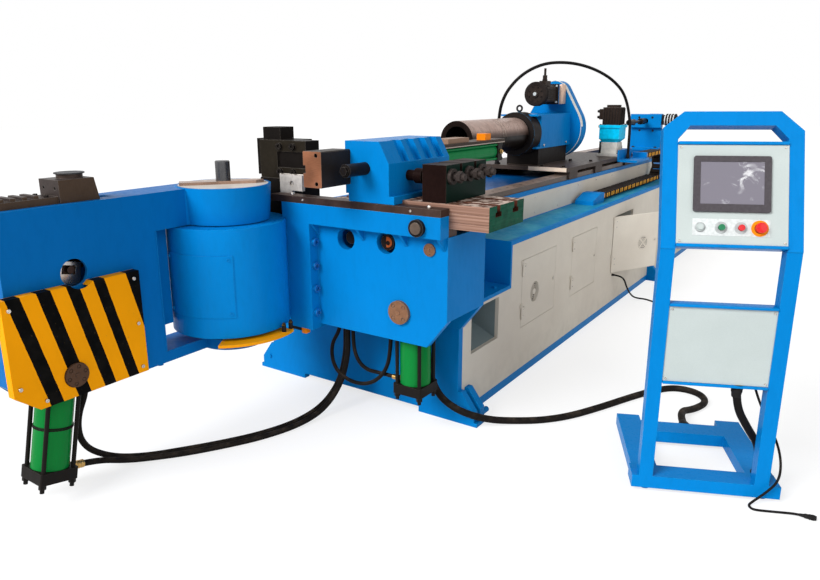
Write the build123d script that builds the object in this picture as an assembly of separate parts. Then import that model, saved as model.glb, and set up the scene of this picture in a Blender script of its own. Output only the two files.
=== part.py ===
from build123d import *
import math
import os

# Driving sizes in millimetres.
# The machine is drawn with Y = 0 at the front of the bed and Z = 0 on the floor.
# Every node is moved back by half the bed length, so that the origin lies under the middle of the bed.

# Bed
BED_L = 5700
BED_HW = 650
SILL_H = 50
SILL_W = 80
PLATE_T = 40
OUTRIGGER_Y = 3500
WING_X = BED_HW + 113
WING_H = 172
FOOT_T = 22
LUG_X = BED_HW + 95
LUG_Z = 75
LUG_TOP = 22
LUG_T = 45
LUG_BOLT = (35, 84, 11)
DECK_Z = 858
DECK_T = 25
STEP_Y = 572
STEP_Z = 606
STEP_T = 20
PANEL_T = 20
BEAM_HW = 385
COVER_T = 20
FLANGE_HW = BEAM_HW + COVER_T
FLANGE_T = 30
BEAM_TOP = 1040
BEAM_END = 5600
COVER_ROUND = 110
SIDE_PANEL_END = 4350
WAY_IN = 285
WAY_OUT = 395
WAY_Z = 1075
WAY_END = 5560

# Openings in the right side panel, as front, rear, bottom and top
WINDOW = (130, 440, 335, 572)
HATCH_A = (735, 1240, 308, 719)
HATCH_B = (1525, 2010, 310, 722)
CABINET = (2390, 2890, 295, 739)
DOOR_GAP = 2.5
DOOR_T = 18
DOOR_OPEN = 26
HINGE_OUT = 6
HINGE_R = 5
HINGE_L = 70
FAN = (925, 490)
LINER_X0 = 430
LINER_T = 4

# Bend head
HEAD_X0 = -107
STRIP_X1 = 42
HEAD_X1 = 783
FACE_Y = -347
LEDGE_Y = -406
HEAD_Z0 = 525
HEAD_Z1 = 1043
LEDGE_Z1 = 1139
TOP_PLATE_Z1 = 1172
WALL = 40
HEAD_DECK_T = 28
MANIFOLD_X1 = 430
MANIFOLD_Z = 580

# Bend pivot and drum
PIVOT_X = -318
PIVOT_Y = -603
DRUM_R = 288
DRUM_WALL = 26
DRUM_Z0 = 546
DRUM_Z1 = 1060
SPINDLE_R = 70
RUN_FIT = 0.05
POST_R = 35
POST_TOP = 1344
DRUM_COVER = (-112, -38, 646, 940)
RING_R = 212
RING_TOP_R = 224
RING_Z0 = 1065
RING_Z1 = 1235

# Bend arm
ARM_X0 = -525
ARM_X1 = -325
ARM_CHEEK = 16
ARM_END = -1680
ARM_TOP = 1232
ARM_TOP_T = 40
ARM_BOTTOM = 448
FORK_Y = -1003
LOWER_LEG_TOP = 498
GUARD_T = 42
WEB_X1 = -400
WEB_Z0 = 600
WEB_R = DRUM_R + 16

# Clamp drive in the arm
CLAMP_X = -425
CLAMP_TILT = 12
CLAMP_TRUNNION = (-1465, 554)
CLAMP_PIN = (-1379, 958)
CLAMP_PIVOT = (-1240, 985)
CLAMP_TIP = (-1290, 1200)
LEVER_T = 40
SLIDE_GAP = 0.3
CLAMP_LOW_PORT = -445
ELBOW = (-1344, 556)
BLOCK_Y = (-1640, -1400, -1230)
BLOCK_TOP = 1323
BLOCK_CAP_Y = -1310

# Pressure die drive in the head
PRESS_X = 531
PRESS_Y = -215
PRESS_TRUNNION_Z = 669
PRESS_PIVOT = (455, 986)
PRESS_PIN = (531, 946)
PRESS_TIP = (455, 1110)
SADDLE = (140, 970, -335, 0, 1082, 1188)
BOOST_X = 386
BOOST_Z = 1325
BOOST_R = 28.5
BOOST_BORE = 38
BOOST_TUBE_R = 45
BOOST_CAP = 52
BOOST_Y = (110, 850)

# Tie-rod cylinders
CYL_R = 75
CYL_BORE = 62
CYL_CAP = 160
CYL_ROD = 28
TRUNNION_R = 22
PORT_R = 16
PORT_L = 16

# Feed carriage
TUBE_Z = 1367
CHUCK_R = 119
CHUCK_BORE = 84
COLLET_R = 60
CHUCK_Y0 = 1078
JAW_IN = 150
JAW_L = 64
SHOULDER_Y = 1930
JOURNAL_R = 100
HOUSING = (2081, 2675, 1257, 1507)
HOUSING_LIP = 66
BEARING_R = 158
BEARING_Y0 = 1945
COVER_Y1 = 2800
SERVO_Z = 1656
PLATE_Z0 = 1100
PLATE_Z1 = 1130
PLATE_XY = (-400, 410, 2000, 3560)
BRACKET = (580, 3130, 3500)
GEARBOX_Z0 = PLATE_Z1 + 118
GEARBOX_Z1 = GEARBOX_Z0 + 148
FEED_X = 300
FEED_Y = 3300
MODULE = 4
PINION_TEETH = 16
RACK_Y = (2250, 4350)
RACK_Z = (1078, 1096)
BACKLASH = 0.5

# Drag chain on the right shelf
CHAIN_X = (448, 556)
CHAIN_LOW = 893
CHAIN_UP = 1127
CHAIN_T = 46
CHAIN_PITCH = 56
CHAIN_START = 2340
ANCHOR_L = 240
CHAIN_LOOP_Y = 4010
CHAIN_END = 3480

# Mandrel stand
MANDREL_Y = 5490
MANDREL_ROD_R = 15
MANDREL_TIP = 4780
MANDREL_TOP = 1443

# Operator console, drawn in its own frame and then turned
CONSOLE_POS = (1600.5, -129.5)
CONSOLE_TURN = 24.1
CONSOLE_W = 514
POST_W = 55
BASE_D = 600
KINK_Z = 1065
TILT = 19.3
TILT_LEN = 534
BUTTON_R = 11
BUTTON_ROW = 78
BUTTONS = {"lamp": 146, "start": 221, "stop": 292, "estop": 359}

# Hoses and cables: radii and routes; the routes named for the console are in its own frame
HOSE_R = 14
THIN_HOSE_R = 10
CONDUIT_R = 18
CABLE_R = 16
LEAD_R = 5
CABINET_R = 6.5
ARCH_R = 12
COIL_R = 94
COIL_STEP = 16
COIL_TURNS = 3
FLOOR_GAP = 0.5
PLUG_WALL = 4
PLUG_L = 40
CLAMP_LOW_ROUTE = [
    (-392, -1225, 24), (-318, -1120, 15), (-236, -1020, 15), (-140, -870, 15), (-48, -700, 15),
    (12, -500, 16), (32, -330, 40), (66, -232, 150), (96, -202, 300), (100, -200, 430),
    (100, -200, MANIFOLD_Z),
]
CLAMP_HIGH_ROUTE = [
    (-425, ELBOW[0], ELBOW[1]), (-425, ELBOW[0], 430), (-452, -1402, 280), (-470, -1380, 140),
    (-452, -1270, 45), (-375, -1150, 16), (-272, -1004, 15), (-172, -852, 15), (-82, -684, 15),
    (-24, -490, 16), (0, -310, 42), (40, -215, 150), (64, -180, 300), (68, -176, 430),
    (68, -176, MANIFOLD_Z),
]
PRESS_LOW_ROUTE = [
    (435, -215, 273), (330, -215, 273), (215, -212, 268), (150, -208, 330), (136, -204, 440),
    (136, -204, MANIFOLD_Z),
]
PRESS_HIGH_ROUTE = [
    (392, -222, MANIFOLD_Z), (392, -222, 440), (372, -235, 300), (270, -240, 205), (140, -240, 190),
    (30, -238, 240), (10, -236, 370), (80, -230, 470), (80, -230, MANIFOLD_Z),
]
CONDUIT_ROUTE = [
    (478, -20, HEAD_Z0), (478, -20, 390), (505, -48, 270), (580, -80, 170), (668, -76, 118), (752, -24, 74),
    (820, 66, 34), (900, 150, 18), (1010, 230, 18), (1116, 360, 18), (1215, 560, 18), (1310, 780, 18),
    (1395, 950, 18), (1485, 1055, 18), (1610, 1045, 18), (1672, 938, 18), (1632, 806, 18),
]
CONDUIT_END = [(304, 735, 48), (304, 540, 48)]
CABLE_ROUTE = [(352, 24, 509), (352, 24, 420), (430, 65, 290), (500, 106, 190), (500, 106, 75)]
LEAD_ROUTE = [
    (430, 44, 545), (430, 110, 545), (455, 140, 450), (505, 118, 330), (548, 80, 245), (556, 24, 180),
    (540, -24, 120), (505, -22, 66), (448, -24, 10), (434, -38, 6), (434, -58, 5.5), (448, -72, 5.5),
    (510, -72, 5.5), (560, -74, 7), (596, -82, 11.5), (624, -90, 11.5),
]
CABINET_ROUTE = [
    (BED_HW, 2440, 272), (706, 2440, 272), (738, 2478, 242), (744, 2545, 158), (747, 2640, 86),
    (752, 2725, 38), (772, 2796, 12), (822, 2822, 7), (885, 2790, 7), (950, 2738, 7), (1030, 2670, 7),
    (1110, 2590, 7), (1190, 2506, 7), (1260, 2410, 7), (1330, 2320, 7),
]
CABINET_COIL = (1440, 2390)
ARCH_ROUTE = [
    (450, 3300, PLATE_Z0 + 10), (450, 3300, 1260), (432, 3350, 1440), (385, 3310, 1650), (325, 3160, 1765),
    (250, 2985, 1840), (170, 2790, 1886), (95, 2580, 1900), (20, 2360, 1876), (-60, 2150, 1810),
    (-130, 2020, 1700), (-178, 2010, 1590), (-190, 2040, 1480), (-190, 2050, 1370), (-190, 2050, PLATE_Z1),
]


def box(x0, x1, y0, y1, z0, z1):
    """Block between two corners."""
    return Pos((x0 + x1) / 2, (y0 + y1) / 2, (z0 + z1) / 2) * Box(x1 - x0, y1 - y0, z1 - z0)


def cyl_x(x0, x1, y, z, r):
    """Round bar along X."""
    return Pos((x0 + x1) / 2, y, z) * Rot(0, 90, 0) * Cylinder(r, x1 - x0)


def cyl_y(x, y0, y1, z, r):
    """Round bar along Y."""
    return Pos(x, (y0 + y1) / 2, z) * Rot(90, 0, 0) * Cylinder(r, y1 - y0)


def cyl_z(x, y, z0, z1, r):
    """Round bar along Z."""
    return Pos(x, y, (z0 + z1) / 2) * Cylinder(r, z1 - z0)


def outline(points):
    """Closed flat outline, taken anticlockwise whichever way it is written."""
    area = sum(a[0] * b[1] - b[0] * a[1] for a, b in zip(points, points[1:] + points[:1]))
    if area < 0:
        points = points[::-1]
    return Polygon(*points, align=None)


def prism_x(points, x0, x1):
    """Outline in (Y, Z), drawn out along X."""
    return extrude(Plane.YZ.offset(x0) * outline(points), x1 - x0)


def prism_y(points, y0, y1):
    """Outline in (X, Z), drawn out along Y."""
    return extrude(Plane.XZ.offset(-y1) * outline(points), y1 - y0)


def prism_z(points, z0, z1):
    """Outline in (X, Y), drawn out along Z."""
    return extrude(Plane.XY.offset(z0) * outline(points), z1 - z0)


def hexagon(r, h):
    """Hexagonal bar standing on Z = 0."""
    return extrude(RegularPolygon(r, 6), h)


def cap_screw(r, h):
    """Socket head standing on Z = 0."""
    return Pos(0, 0, h / 2) * Cylinder(r, h) - Pos(0, 0, h * 0.45) * hexagon(r * 0.58, h)


def bolt_circle(r, count, start=0):
    """Points on a circle in the local XY plane."""
    angles = [math.radians(start + 360 * i / count) for i in range(count)]
    return [(r * math.cos(a), r * math.sin(a)) for a in angles]


def pin_flange(r, t, screws):
    """Round cover plate with screw heads and a raised centre, standing on Z = 0."""
    body = Pos(0, 0, t / 2) * Cylinder(r, t)
    body += Pos(0, 0, t) * hexagon(r * 0.2, 4)
    for x, y in bolt_circle(r * 0.72, screws, 45):
        body -= Pos(x, y, t) * Cylinder(r * 0.17, 8)
        body += Pos(x, y, t - 4) * hexagon(r * 0.13, 3)
    return body


TO_PLUS_X = Rot(0, 90, 0)
TO_MINUS_Y = Rot(90, 0, 0)

nodes = {}


def add(name, shape):
    """Keep one node."""
    nodes[name] = shape


# Bed: sills and sleepers on the floor, end plates with spread feet, side outriggers
sill_in = BED_HW - SILL_W
base = box(-BED_HW, -sill_in, PLATE_T, BED_L - PLATE_T, 0, SILL_H)
base += box(sill_in, BED_HW, PLATE_T, BED_L - PLATE_T, 0, SILL_H)
for part in (0.25, 0.5, 0.75):
    mid = BED_L * part
    base += box(-sill_in, sill_in, mid - 60, mid + 60, 0, SILL_H)


def lug(side):
    """Outline of a spread foot beside the bed, from its top down to its toe."""
    return [
        (side * BED_HW, WING_H), (side * (BED_HW + LUG_TOP), WING_H), (side * LUG_X, LUG_Z),
        (side * LUG_X, FOOT_T), (side * WING_X, FOOT_T), (side * WING_X, 0),
    ]


def end_plate(top):
    """End plate outline with spread feet and a low relief between them."""
    return [
        *lug(-1), (-402, 0), (-402, 30), (411, 30), (411, 0), *lug(1)[::-1],
        (BED_HW, top), (-BED_HW, top),
    ]


base += prism_y(end_plate(STEP_Z - STEP_T), 0, PLATE_T)
base += prism_y(end_plate(DECK_Z - DECK_T), BED_L - PLATE_T, BED_L)
second_lug = PLATE_T + 30
for side in (-1, 1):
    wing = lug(side) + [(side * BED_HW, 0)]
    base += prism_y(wing, OUTRIGGER_Y - 20, OUTRIGGER_Y + 20)
    base += prism_y(wing, second_lug, second_lug + LUG_T)
    x0, x1 = sorted((side * BED_HW, side * WING_X))
    base += box(x0, x1, PLATE_T, second_lug, 0, FOOT_T)
    out, high, r = LUG_BOLT
    for y in (0, second_lug):
        base += cyl_y(side * (BED_HW + out), y - 8, y + 1, high, r)
    base += cyl_y(side * (LUG_X - r - 4), second_lug + LUG_T - 1, second_lug + LUG_T + 55, FOOT_T + r, r + 4)
add("bed_base", base)

# Bed deck: rear shelf, step in front of it, and the pedestal that carries the bend head
deck = box(-BED_HW, BED_HW, STEP_Y, BED_L, DECK_Z - DECK_T, DECK_Z)
deck += box(-BED_HW, BED_HW, STEP_Y, STEP_Y + STEP_T, STEP_Z - STEP_T, DECK_Z - DECK_T)
deck += box(-BED_HW, BED_HW, 0, STEP_Y, STEP_Z - STEP_T, STEP_Z)
pedestal = box(-480, 420, 0, STEP_Y, STEP_Z, BEAM_TOP)
pedestal -= box(-440, 380, WALL, STEP_Y - WALL, STEP_Z, BEAM_TOP - WALL)
anchor_y0 = CHAIN_START - ANCHOR_L
anchor_top = CHAIN_LOW + 36
anchor_outline = [
    (anchor_y0, DECK_Z), (CHAIN_START, DECK_Z), (CHAIN_START, anchor_top), (anchor_y0 + 150, anchor_top),
    (anchor_y0, DECK_Z + 30),
]
anchor = prism_x(anchor_outline, CHAIN_X[0] - 8, CHAIN_X[1] + 22)
add("bed_deck", deck + pedestal + anchor)

# Side panels
panel_outline = [
    (PLATE_T, SILL_H), (BED_L - PLATE_T, SILL_H), (BED_L - PLATE_T, DECK_Z - DECK_T),
    (STEP_Y + STEP_T, DECK_Z - DECK_T), (STEP_Y + STEP_T, STEP_Z - STEP_T), (PLATE_T, STEP_Z - STEP_T),
]
right_panel = prism_x(panel_outline, BED_HW - PANEL_T, BED_HW)
for y0, y1, z0, z1 in (WINDOW, HATCH_A, HATCH_B, CABINET):
    right_panel -= box(BED_HW - PANEL_T - 1, BED_HW + 1, y0, y1, z0, z1)


def hinge_heights(opening):
    """Middles of the two hinges of a door."""
    return opening[2] + 90, opening[3] - 60


for opening in (HATCH_A, HATCH_B, CABINET):
    pin_y = opening[0] + DOOR_GAP - HINGE_OUT
    for z in hinge_heights(opening):
        low = z + HINGE_L / 2 + SLIDE_GAP
        right_panel += cyl_z(BED_HW + HINGE_OUT, pin_y, low, low + 24, HINGE_R)
        right_panel += box(BED_HW, BED_HW + HINGE_OUT, pin_y - 14, pin_y, low, low + 24)
y0, y1, z0, z1 = WINDOW
back = LINER_X0 + LINER_T
rim = BED_HW - PANEL_T
chute = [(back, z0 - LINER_T), (rim, z0 - LINER_T), (rim, z0), (back, z0 + 90)]
liner = [
    box(LINER_X0, back, y0 - LINER_T, y1 + LINER_T, z0 - LINER_T, z1 + LINER_T),
    box(back, rim, y0 - LINER_T, y0, z0 - LINER_T, z1 + LINER_T),
    box(back, rim, y1, y1 + LINER_T, z0 - LINER_T, z1 + LINER_T),
    box(back, rim, y0, y1, z1, z1 + LINER_T),
    prism_y(chute, y0, y1),
]
add("right_side_panel", Compound(children=[right_panel] + liner))
left_panel = prism_x(panel_outline, -BED_HW, -BED_HW + PANEL_T)
for y0, y1, z0, z1 in (HATCH_A, HATCH_B, CABINET):
    groove = box(-BED_HW - 1, -BED_HW + 1.5, y0, y1, z0, z1)
    groove -= box(-BED_HW - 2, -BED_HW + 2, y0 + 4, y1 - 4, z0 + 4, z1 - 4)
    left_panel -= groove
add("left_side_panel", left_panel)


def hatch(opening):
    """Flush door in the right side panel, closed, with a recessed latch."""
    y0, y1, z0, z1 = opening
    door = box(BED_HW - DOOR_T, BED_HW, y0 + DOOR_GAP, y1 - DOOR_GAP, z0 + DOOR_GAP, z1 - DOOR_GAP)
    mid = (z0 + z1) / 2
    door -= cyl_x(BED_HW - 3, BED_HW + 1, y1 - 30, mid, 14)
    door += cyl_x(BED_HW - 3, BED_HW + 1, y1 - 30, mid, 9)
    for z in hinge_heights(opening):
        low = z - HINGE_L / 2
        high = z + HINGE_L / 2
        door += cyl_z(BED_HW + HINGE_OUT, y0 + DOOR_GAP - HINGE_OUT, low, high, HINGE_R)
        door += box(BED_HW + 1, BED_HW + HINGE_OUT, y0 + DOOR_GAP - HINGE_OUT, y0 + 40, low, high)
        door += box(BED_HW, BED_HW + 1, y0 + DOOR_GAP, y0 + 40, low, high)
    return door


front_hatch = hatch(HATCH_A)
front_hatch -= cyl_x(BED_HW - DOOR_T - 1, BED_HW + 1, *FAN, 62)
front_hatch += cyl_x(BED_HW - DOOR_T, BED_HW - 2, *FAN, 20)
for radius in (30, 42, 54):
    ring = cyl_x(BED_HW - 8, BED_HW, *FAN, radius + 3)
    front_hatch += ring - cyl_x(BED_HW - 9, BED_HW + 1, *FAN, radius - 1)
for spoke in range(4):
    bar = Pos(BED_HW - 10, *FAN) * Rot(45 + 90 * spoke, 0, 0) * Pos(0, 0, 40) * Box(6, 5, 52)
    front_hatch += bar
add("front_hatch", front_hatch)
add("middle_hatch", hatch(HATCH_B))
hinge_y = CABINET[0] + DOOR_GAP - HINGE_OUT
hinge_x = BED_HW + HINGE_OUT
swing = Pos(hinge_x, hinge_y, 0) * Rot(0, 0, -DOOR_OPEN) * Pos(-hinge_x, -hinge_y, 0)
add("cabinet_door", swing * hatch(CABINET))

# Electrical box behind the cabinet door, with rows of devices on its back plate
y0, y1, z0, z1 = CABINET
elec = box(380, BED_HW - PANEL_T, y0 - 5, y1 + 5, z0 - 5, z1 + 5) - box(384, BED_HW, y0, y1, z0, z1)
for row in range(3):
    z = z0 + 60 + row * 130
    elec += box(384, 392, y0 + 30, y1 - 30, z + 20, z + 50)
    for col in range(6):
        y = y0 + 45 + col * 70
        elec += box(392, 440 + 14 * ((row + col) % 3), y, y + 52, z - 15, z + 85)
add("electrical_box", elec)

# Upper beam with its cover panels, guideways and the feed rack
beam = box(-BEAM_HW, BEAM_HW, STEP_Y, BEAM_END, DECK_Z, BEAM_TOP - FLANGE_T)
beam += box(-FLANGE_HW, FLANGE_HW, STEP_Y, BEAM_END, BEAM_TOP - FLANGE_T, BEAM_TOP)
beam -= box(-BEAM_HW + 30, BEAM_HW - 30, STEP_Y + 30, BEAM_END - 30, DECK_Z + 30, BEAM_TOP - FLANGE_T - 5)
add("upper_beam", beam)
panel_top = BEAM_TOP - FLANGE_T
round_y = SIDE_PANEL_END - COVER_ROUND
round_z = panel_top - COVER_ROUND
cover_outline = [(STEP_Y, DECK_Z), (SIDE_PANEL_END, DECK_Z)]
for i in range(9):
    a = math.radians(i * 90 / 8)
    cover_outline.append((round_y + COVER_ROUND * math.cos(a), round_z + COVER_ROUND * math.sin(a)))
cover_outline.append((STEP_Y, panel_top))
covers = prism_x(cover_outline, BEAM_HW, FLANGE_HW) + prism_x(cover_outline, -FLANGE_HW, -BEAM_HW)
add("upper_side_panels", covers)


def rack_outline(y0, y1, x_pitch, x_back):
    """Straight rack with teeth facing +X, one tooth space centred on the pinion."""
    pitch = math.pi * MODULE
    half_tip = pitch / 4 - math.tan(math.radians(20)) * MODULE - BACKLASH / 2
    half_root = pitch / 4 + math.tan(math.radians(20)) * 1.25 * MODULE - BACKLASH / 2
    count = int((y1 - y0) / pitch) // 2
    points = [(x_back, FEED_Y - (count + 0.5) * pitch - half_root - 4)]
    points.append((x_pitch - 1.25 * MODULE, FEED_Y - (count + 0.5) * pitch - half_root - 4))
    for i in range(-count, count + 1):
        y = FEED_Y + (i - 0.5) * pitch
        points.append((x_pitch - 1.25 * MODULE, y - half_root))
        points.append((x_pitch + MODULE, y - half_tip))
        points.append((x_pitch + MODULE, y + half_tip))
        points.append((x_pitch - 1.25 * MODULE, y + half_root))
    points.append((x_pitch - 1.25 * MODULE, FEED_Y + (count - 0.5) * pitch + half_root + 4))
    points.append((x_back, FEED_Y + (count - 0.5) * pitch + half_root + 4))
    return points


pinion_r = MODULE * PINION_TEETH / 2
rack_line = FEED_X - pinion_r
ways = box(WAY_IN, WAY_OUT, STEP_Y, WAY_END, BEAM_TOP, WAY_Z)
ways += box(-WAY_OUT, -WAY_IN, STEP_Y, WAY_END, BEAM_TOP, WAY_Z)
rack_back = rack_line - 26
ways += box(rack_back, WAY_IN - 2, RACK_Y[0], RACK_Y[1], BEAM_TOP, RACK_Z[0])
ways += prism_z(rack_outline(RACK_Y[0], RACK_Y[1], rack_line, rack_back), RACK_Z[0], RACK_Z[1])
add("guideways", ways)


def spur(teeth, z0, z1):
    """Involute spur gear about Z with one tooth pointing along -X."""
    r = MODULE * teeth / 2
    base_r = r * math.cos(math.radians(20))
    tip_r = r + MODULE
    root_r = r - 1.25 * MODULE
    inv20 = math.tan(math.radians(20)) - math.radians(20)
    half = math.pi / (2 * teeth) - BACKLASH / (2 * r)
    flank = []
    for i in range(7):
        rr = base_r + (tip_r - base_r) * i / 6
        pa = math.acos(base_r / rr)
        flank.append((rr, half + inv20 - (math.tan(pa) - pa)))
    points = []
    for k in range(teeth):
        mid = math.pi + 2 * math.pi * k / teeth
        tooth = [(root_r, -flank[0][1])]
        tooth += [(rr, -t) for rr, t in flank]
        tooth += [(rr, t) for rr, t in reversed(flank)]
        tooth.append((root_r, flank[0][1]))
        for rr, t in tooth:
            points.append((rr * math.cos(mid + t), rr * math.sin(mid + t)))
    return prism_z(points, z0, z1)


pinion = Pos(FEED_X, FEED_Y, 0) * spur(PINION_TEETH, RACK_Z[0] + 1, RACK_Z[1] - 1)
pinion += cyl_z(FEED_X, FEED_Y, RACK_Z[1] - 2, GEARBOX_Z0 - 8, 14)
pinion += cyl_z(FEED_X, FEED_Y, RACK_Z[0] - 1.5, RACK_Z[0] + 1, 16)
add("feed_pinion", pinion)

# Bend head: welded box with the ledge bar in front of its top
face_outline = [(STRIP_X1, HEAD_Z0), (678, HEAD_Z0), (HEAD_X1, 660), (HEAD_X1, HEAD_Z1), (STRIP_X1, HEAD_Z1)]
head = prism_y(face_outline, FACE_Y, FACE_Y + WALL)
head += prism_y(face_outline, -WALL, 0)
head += box(HEAD_X1 - WALL, HEAD_X1, FACE_Y, 0, 660, HEAD_Z1)
head += box(HEAD_X0, STRIP_X1, LEDGE_Y, 0, 504, HEAD_Z1)
head += box(HEAD_X0, HEAD_X1, FACE_Y, 0, HEAD_Z1 - HEAD_DECK_T, HEAD_Z1)
head += box(-132, 780, LEDGE_Y, -337, HEAD_Z1, LEDGE_Z1)
for x in (50, 326, 567, 764):
    head += prism_x([(FACE_Y, HEAD_Z1), (FACE_Y, HEAD_Z1 - 62), (LEDGE_Y + 4, HEAD_Z1)], x - 7, x + 7)
head -= cyl_y(221, FACE_Y - 1, FACE_Y + WALL + 1, 979, 52)
head -= cyl_y(PRESS_PIVOT[0], FACE_Y - 1, FACE_Y + WALL + 1, PRESS_PIVOT[1], 52)
head -= box(345, 585, PRESS_Y - 50, PRESS_Y + 50, HEAD_Z1 - WALL - 1, HEAD_Z1 + 1)
head -= cyl_z(PIVOT_X, PIVOT_Y, DRUM_Z0, DRUM_Z1 + 2, DRUM_R + 1)
head += box(STRIP_X1, MANIFOLD_X1, -240, -160, MANIFOLD_Z, MANIFOLD_Z + 60)
add("bend_head_frame", head)

# Dark wear plate on the ledge and the guide rails under the saddle
top_plate = box(-205, 780, LEDGE_Y, -337, LEDGE_Z1, TOP_PLATE_Z1)
for x in (8, 628):
    top_plate -= cyl_y(x, LEDGE_Y - 1, LEDGE_Y + 3, 1156, 6)
rails = box(120, 778, -330, PRESS_Y - 50, HEAD_Z1, SADDLE[4])
rails += box(120, 778, PRESS_Y + 50, -5, HEAD_Z1, SADDLE[4])
add("head_top_plate", top_plate + rails)

# Screws, pins and flanges seen on the head
fasteners = Pos(PRESS_X, FACE_Y, PRESS_TRUNNION_Z) * TO_MINUS_Y * pin_flange(56, 16, 4)
fasteners += Pos(692, FACE_Y, 982) * TO_MINUS_Y * pin_flange(29, 8, 3)
ledge_pin = Pos(0, 0, 10) * Cylinder(38, 20) + Pos(0, 0, 22) * Cylinder(26, 6)
fasteners += Pos(667, LEDGE_Y, 1086) * TO_MINUS_Y * ledge_pin
for z in (949, 831, 714, 591):
    fasteners += Pos(STRIP_X1, -375, z) * TO_PLUS_X * cap_screw(19, 17)
fasteners += cyl_y(221, FACE_Y + WALL, -WALL, 979, 30)
fasteners += cyl_y(PRESS_PIVOT[0], FACE_Y + WALL, -WALL, PRESS_PIVOT[1], 24)
fasteners += cyl_y(PRESS_PIVOT[0], FACE_Y + 12, FACE_Y + WALL, PRESS_PIVOT[1], 36)
add("head_fasteners", fasteners)

# Drum round the bend spindle, with its carrier behind and a curved cover in front
drum = cyl_z(PIVOT_X, PIVOT_Y, DRUM_Z0, DRUM_Z1, DRUM_R)
carrier = box(-480, HEAD_X0, LEDGE_Y, 0, DRUM_Z0, DRUM_Z1 - 20)
drum += carrier
drum -= cyl_z(PIVOT_X, PIVOT_Y, DRUM_Z0 + 30, DRUM_Z1 - 30, DRUM_R - DRUM_WALL)
drum -= cyl_z(PIVOT_X, PIVOT_Y, DRUM_Z0 - 1, DRUM_Z1 + 1, SPINDLE_R + RUN_FIT)
turn0, turn1, low, high = DRUM_COVER
cover = cyl_z(PIVOT_X, PIVOT_Y, low, high, DRUM_R + 4) - cyl_z(PIVOT_X, PIVOT_Y, low - 1, high + 1, DRUM_R)
wedge = [(0, 0)]
for a in (turn0, (turn0 + turn1) / 2, turn1):
    wedge.append((420 * math.cos(math.radians(a)), 420 * math.sin(math.radians(a))))
cover &= Pos(PIVOT_X, PIVOT_Y, 0) * prism_z(wedge, low - 1, high + 1)
drum += cover
for a in (turn0 + 4, turn1 - 4):
    for z in (low + 20, high - 20):
        drum += Pos(PIVOT_X, PIVOT_Y, z) * Rot(0, 0, a) * TO_PLUS_X * Pos(0, 0, DRUM_R + 2) * cap_screw(8, 6)
add("drum_housing", drum)

# Yellow sensor plate under the drum with its two sensors
sector = []
for a in range(-54, 24, 6):
    sector.append((335 * math.cos(math.radians(a)), 335 * math.sin(math.radians(a))))
for a in range(20, -58, -8):
    sector.append((170 * math.cos(math.radians(a)), 170 * math.sin(math.radians(a))))
sensor_plate = Pos(PIVOT_X, PIVOT_Y, 0) * prism_z(sector, 516, 530)
for a in (-48, -20, 8):
    x = PIVOT_X + 230 * math.cos(math.radians(a))
    y = PIVOT_Y + 230 * math.sin(math.radians(a))
    sensor_plate += cyl_z(x, y, 530, DRUM_Z0, 14)
for x, y in ((-6, -560), (-14, -505)):
    sensor_plate += cyl_z(x, y, 530, 566, 11) + cyl_z(x, y, 566, 576, 7)
add("sensor_plate", sensor_plate)

# Spindle and die post turning with the arm
post = cyl_z(PIVOT_X, PIVOT_Y, LOWER_LEG_TOP, RING_Z0, SPINDLE_R)
post += cyl_z(PIVOT_X, PIVOT_Y, RING_Z0, POST_TOP, POST_R)
post = chamfer(post.edges().sort_by(Axis.Z)[-1], 4)
key_outline = [(-38, -205), (38, -205), (38, 150), (20, 190), (-20, 190), (-38, 150)]
key_bar = prism_z(key_outline, RING_Z1, RING_Z1 + 14)
add("bend_spindle", post + Pos(PIVOT_X, PIVOT_Y, 0) * Rot(0, 0, -38) * key_bar)

# Bend arm: a C-shaped box with the clamp drive inside
arm_outline = [
    (PIVOT_Y, ARM_TOP), (ARM_END, ARM_TOP), (ARM_END, 538), (-1600, ARM_BOTTOM), (PIVOT_Y, ARM_BOTTOM),
    (PIVOT_Y, LOWER_LEG_TOP), (FORK_Y, LOWER_LEG_TOP), (FORK_Y, RING_Z0), (PIVOT_Y, RING_Z0),
]
arm = prism_x(arm_outline, ARM_X0, ARM_X1)
arm += Pos(PIVOT_X, PIVOT_Y, (RING_Z0 + RING_Z1) / 2) * Cone(RING_R, RING_TOP_R, RING_Z1 - RING_Z0)
arm += cyl_z(PIVOT_X, PIVOT_Y, ARM_BOTTOM, LOWER_LEG_TOP, 170)
arm -= cyl_z(PIVOT_X, PIVOT_Y, RING_Z0 - 1, RING_Z1 + 1, POST_R)
arm -= box(ARM_X0 + ARM_CHEEK, ARM_X1 - ARM_CHEEK, -1660, FORK_Y - WALL, ARM_BOTTOM - 1, ARM_TOP - ARM_TOP_T)
web = box(ARM_X0 + ARM_CHEEK, WEB_X1, FORK_Y - 1, PIVOT_Y - DRUM_R + 40, WEB_Z0, RING_Z0)
arm += web - cyl_z(PIVOT_X, PIVOT_Y, WEB_Z0 - 1, RING_Z0 + 1, WEB_R)
arm -= box(CLAMP_X - 26, CLAMP_X + 26, -1376, -1154, ARM_TOP - ARM_TOP_T - 1, ARM_TOP + 1)
arm -= cyl_x(ARM_X1 - ARM_CHEEK - 1, ARM_X1 + 1, -1398, 958, 57)
arm += cyl_z(ARM_X1 - 30, FORK_Y - 20, ARM_BOTTOM - 14, ARM_BOTTOM, 14)
arm -= cyl_x(ARM_X0 - 1, ARM_X1 + 1, CLAMP_TRUNNION[0], CLAMP_TRUNNION[1], TRUNNION_R)
arm += cyl_x(ARM_X0 + ARM_CHEEK, ARM_X1 - ARM_CHEEK, CLAMP_PIVOT[0], CLAMP_PIVOT[1], 20)
add("arm_frame", arm)

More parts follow.
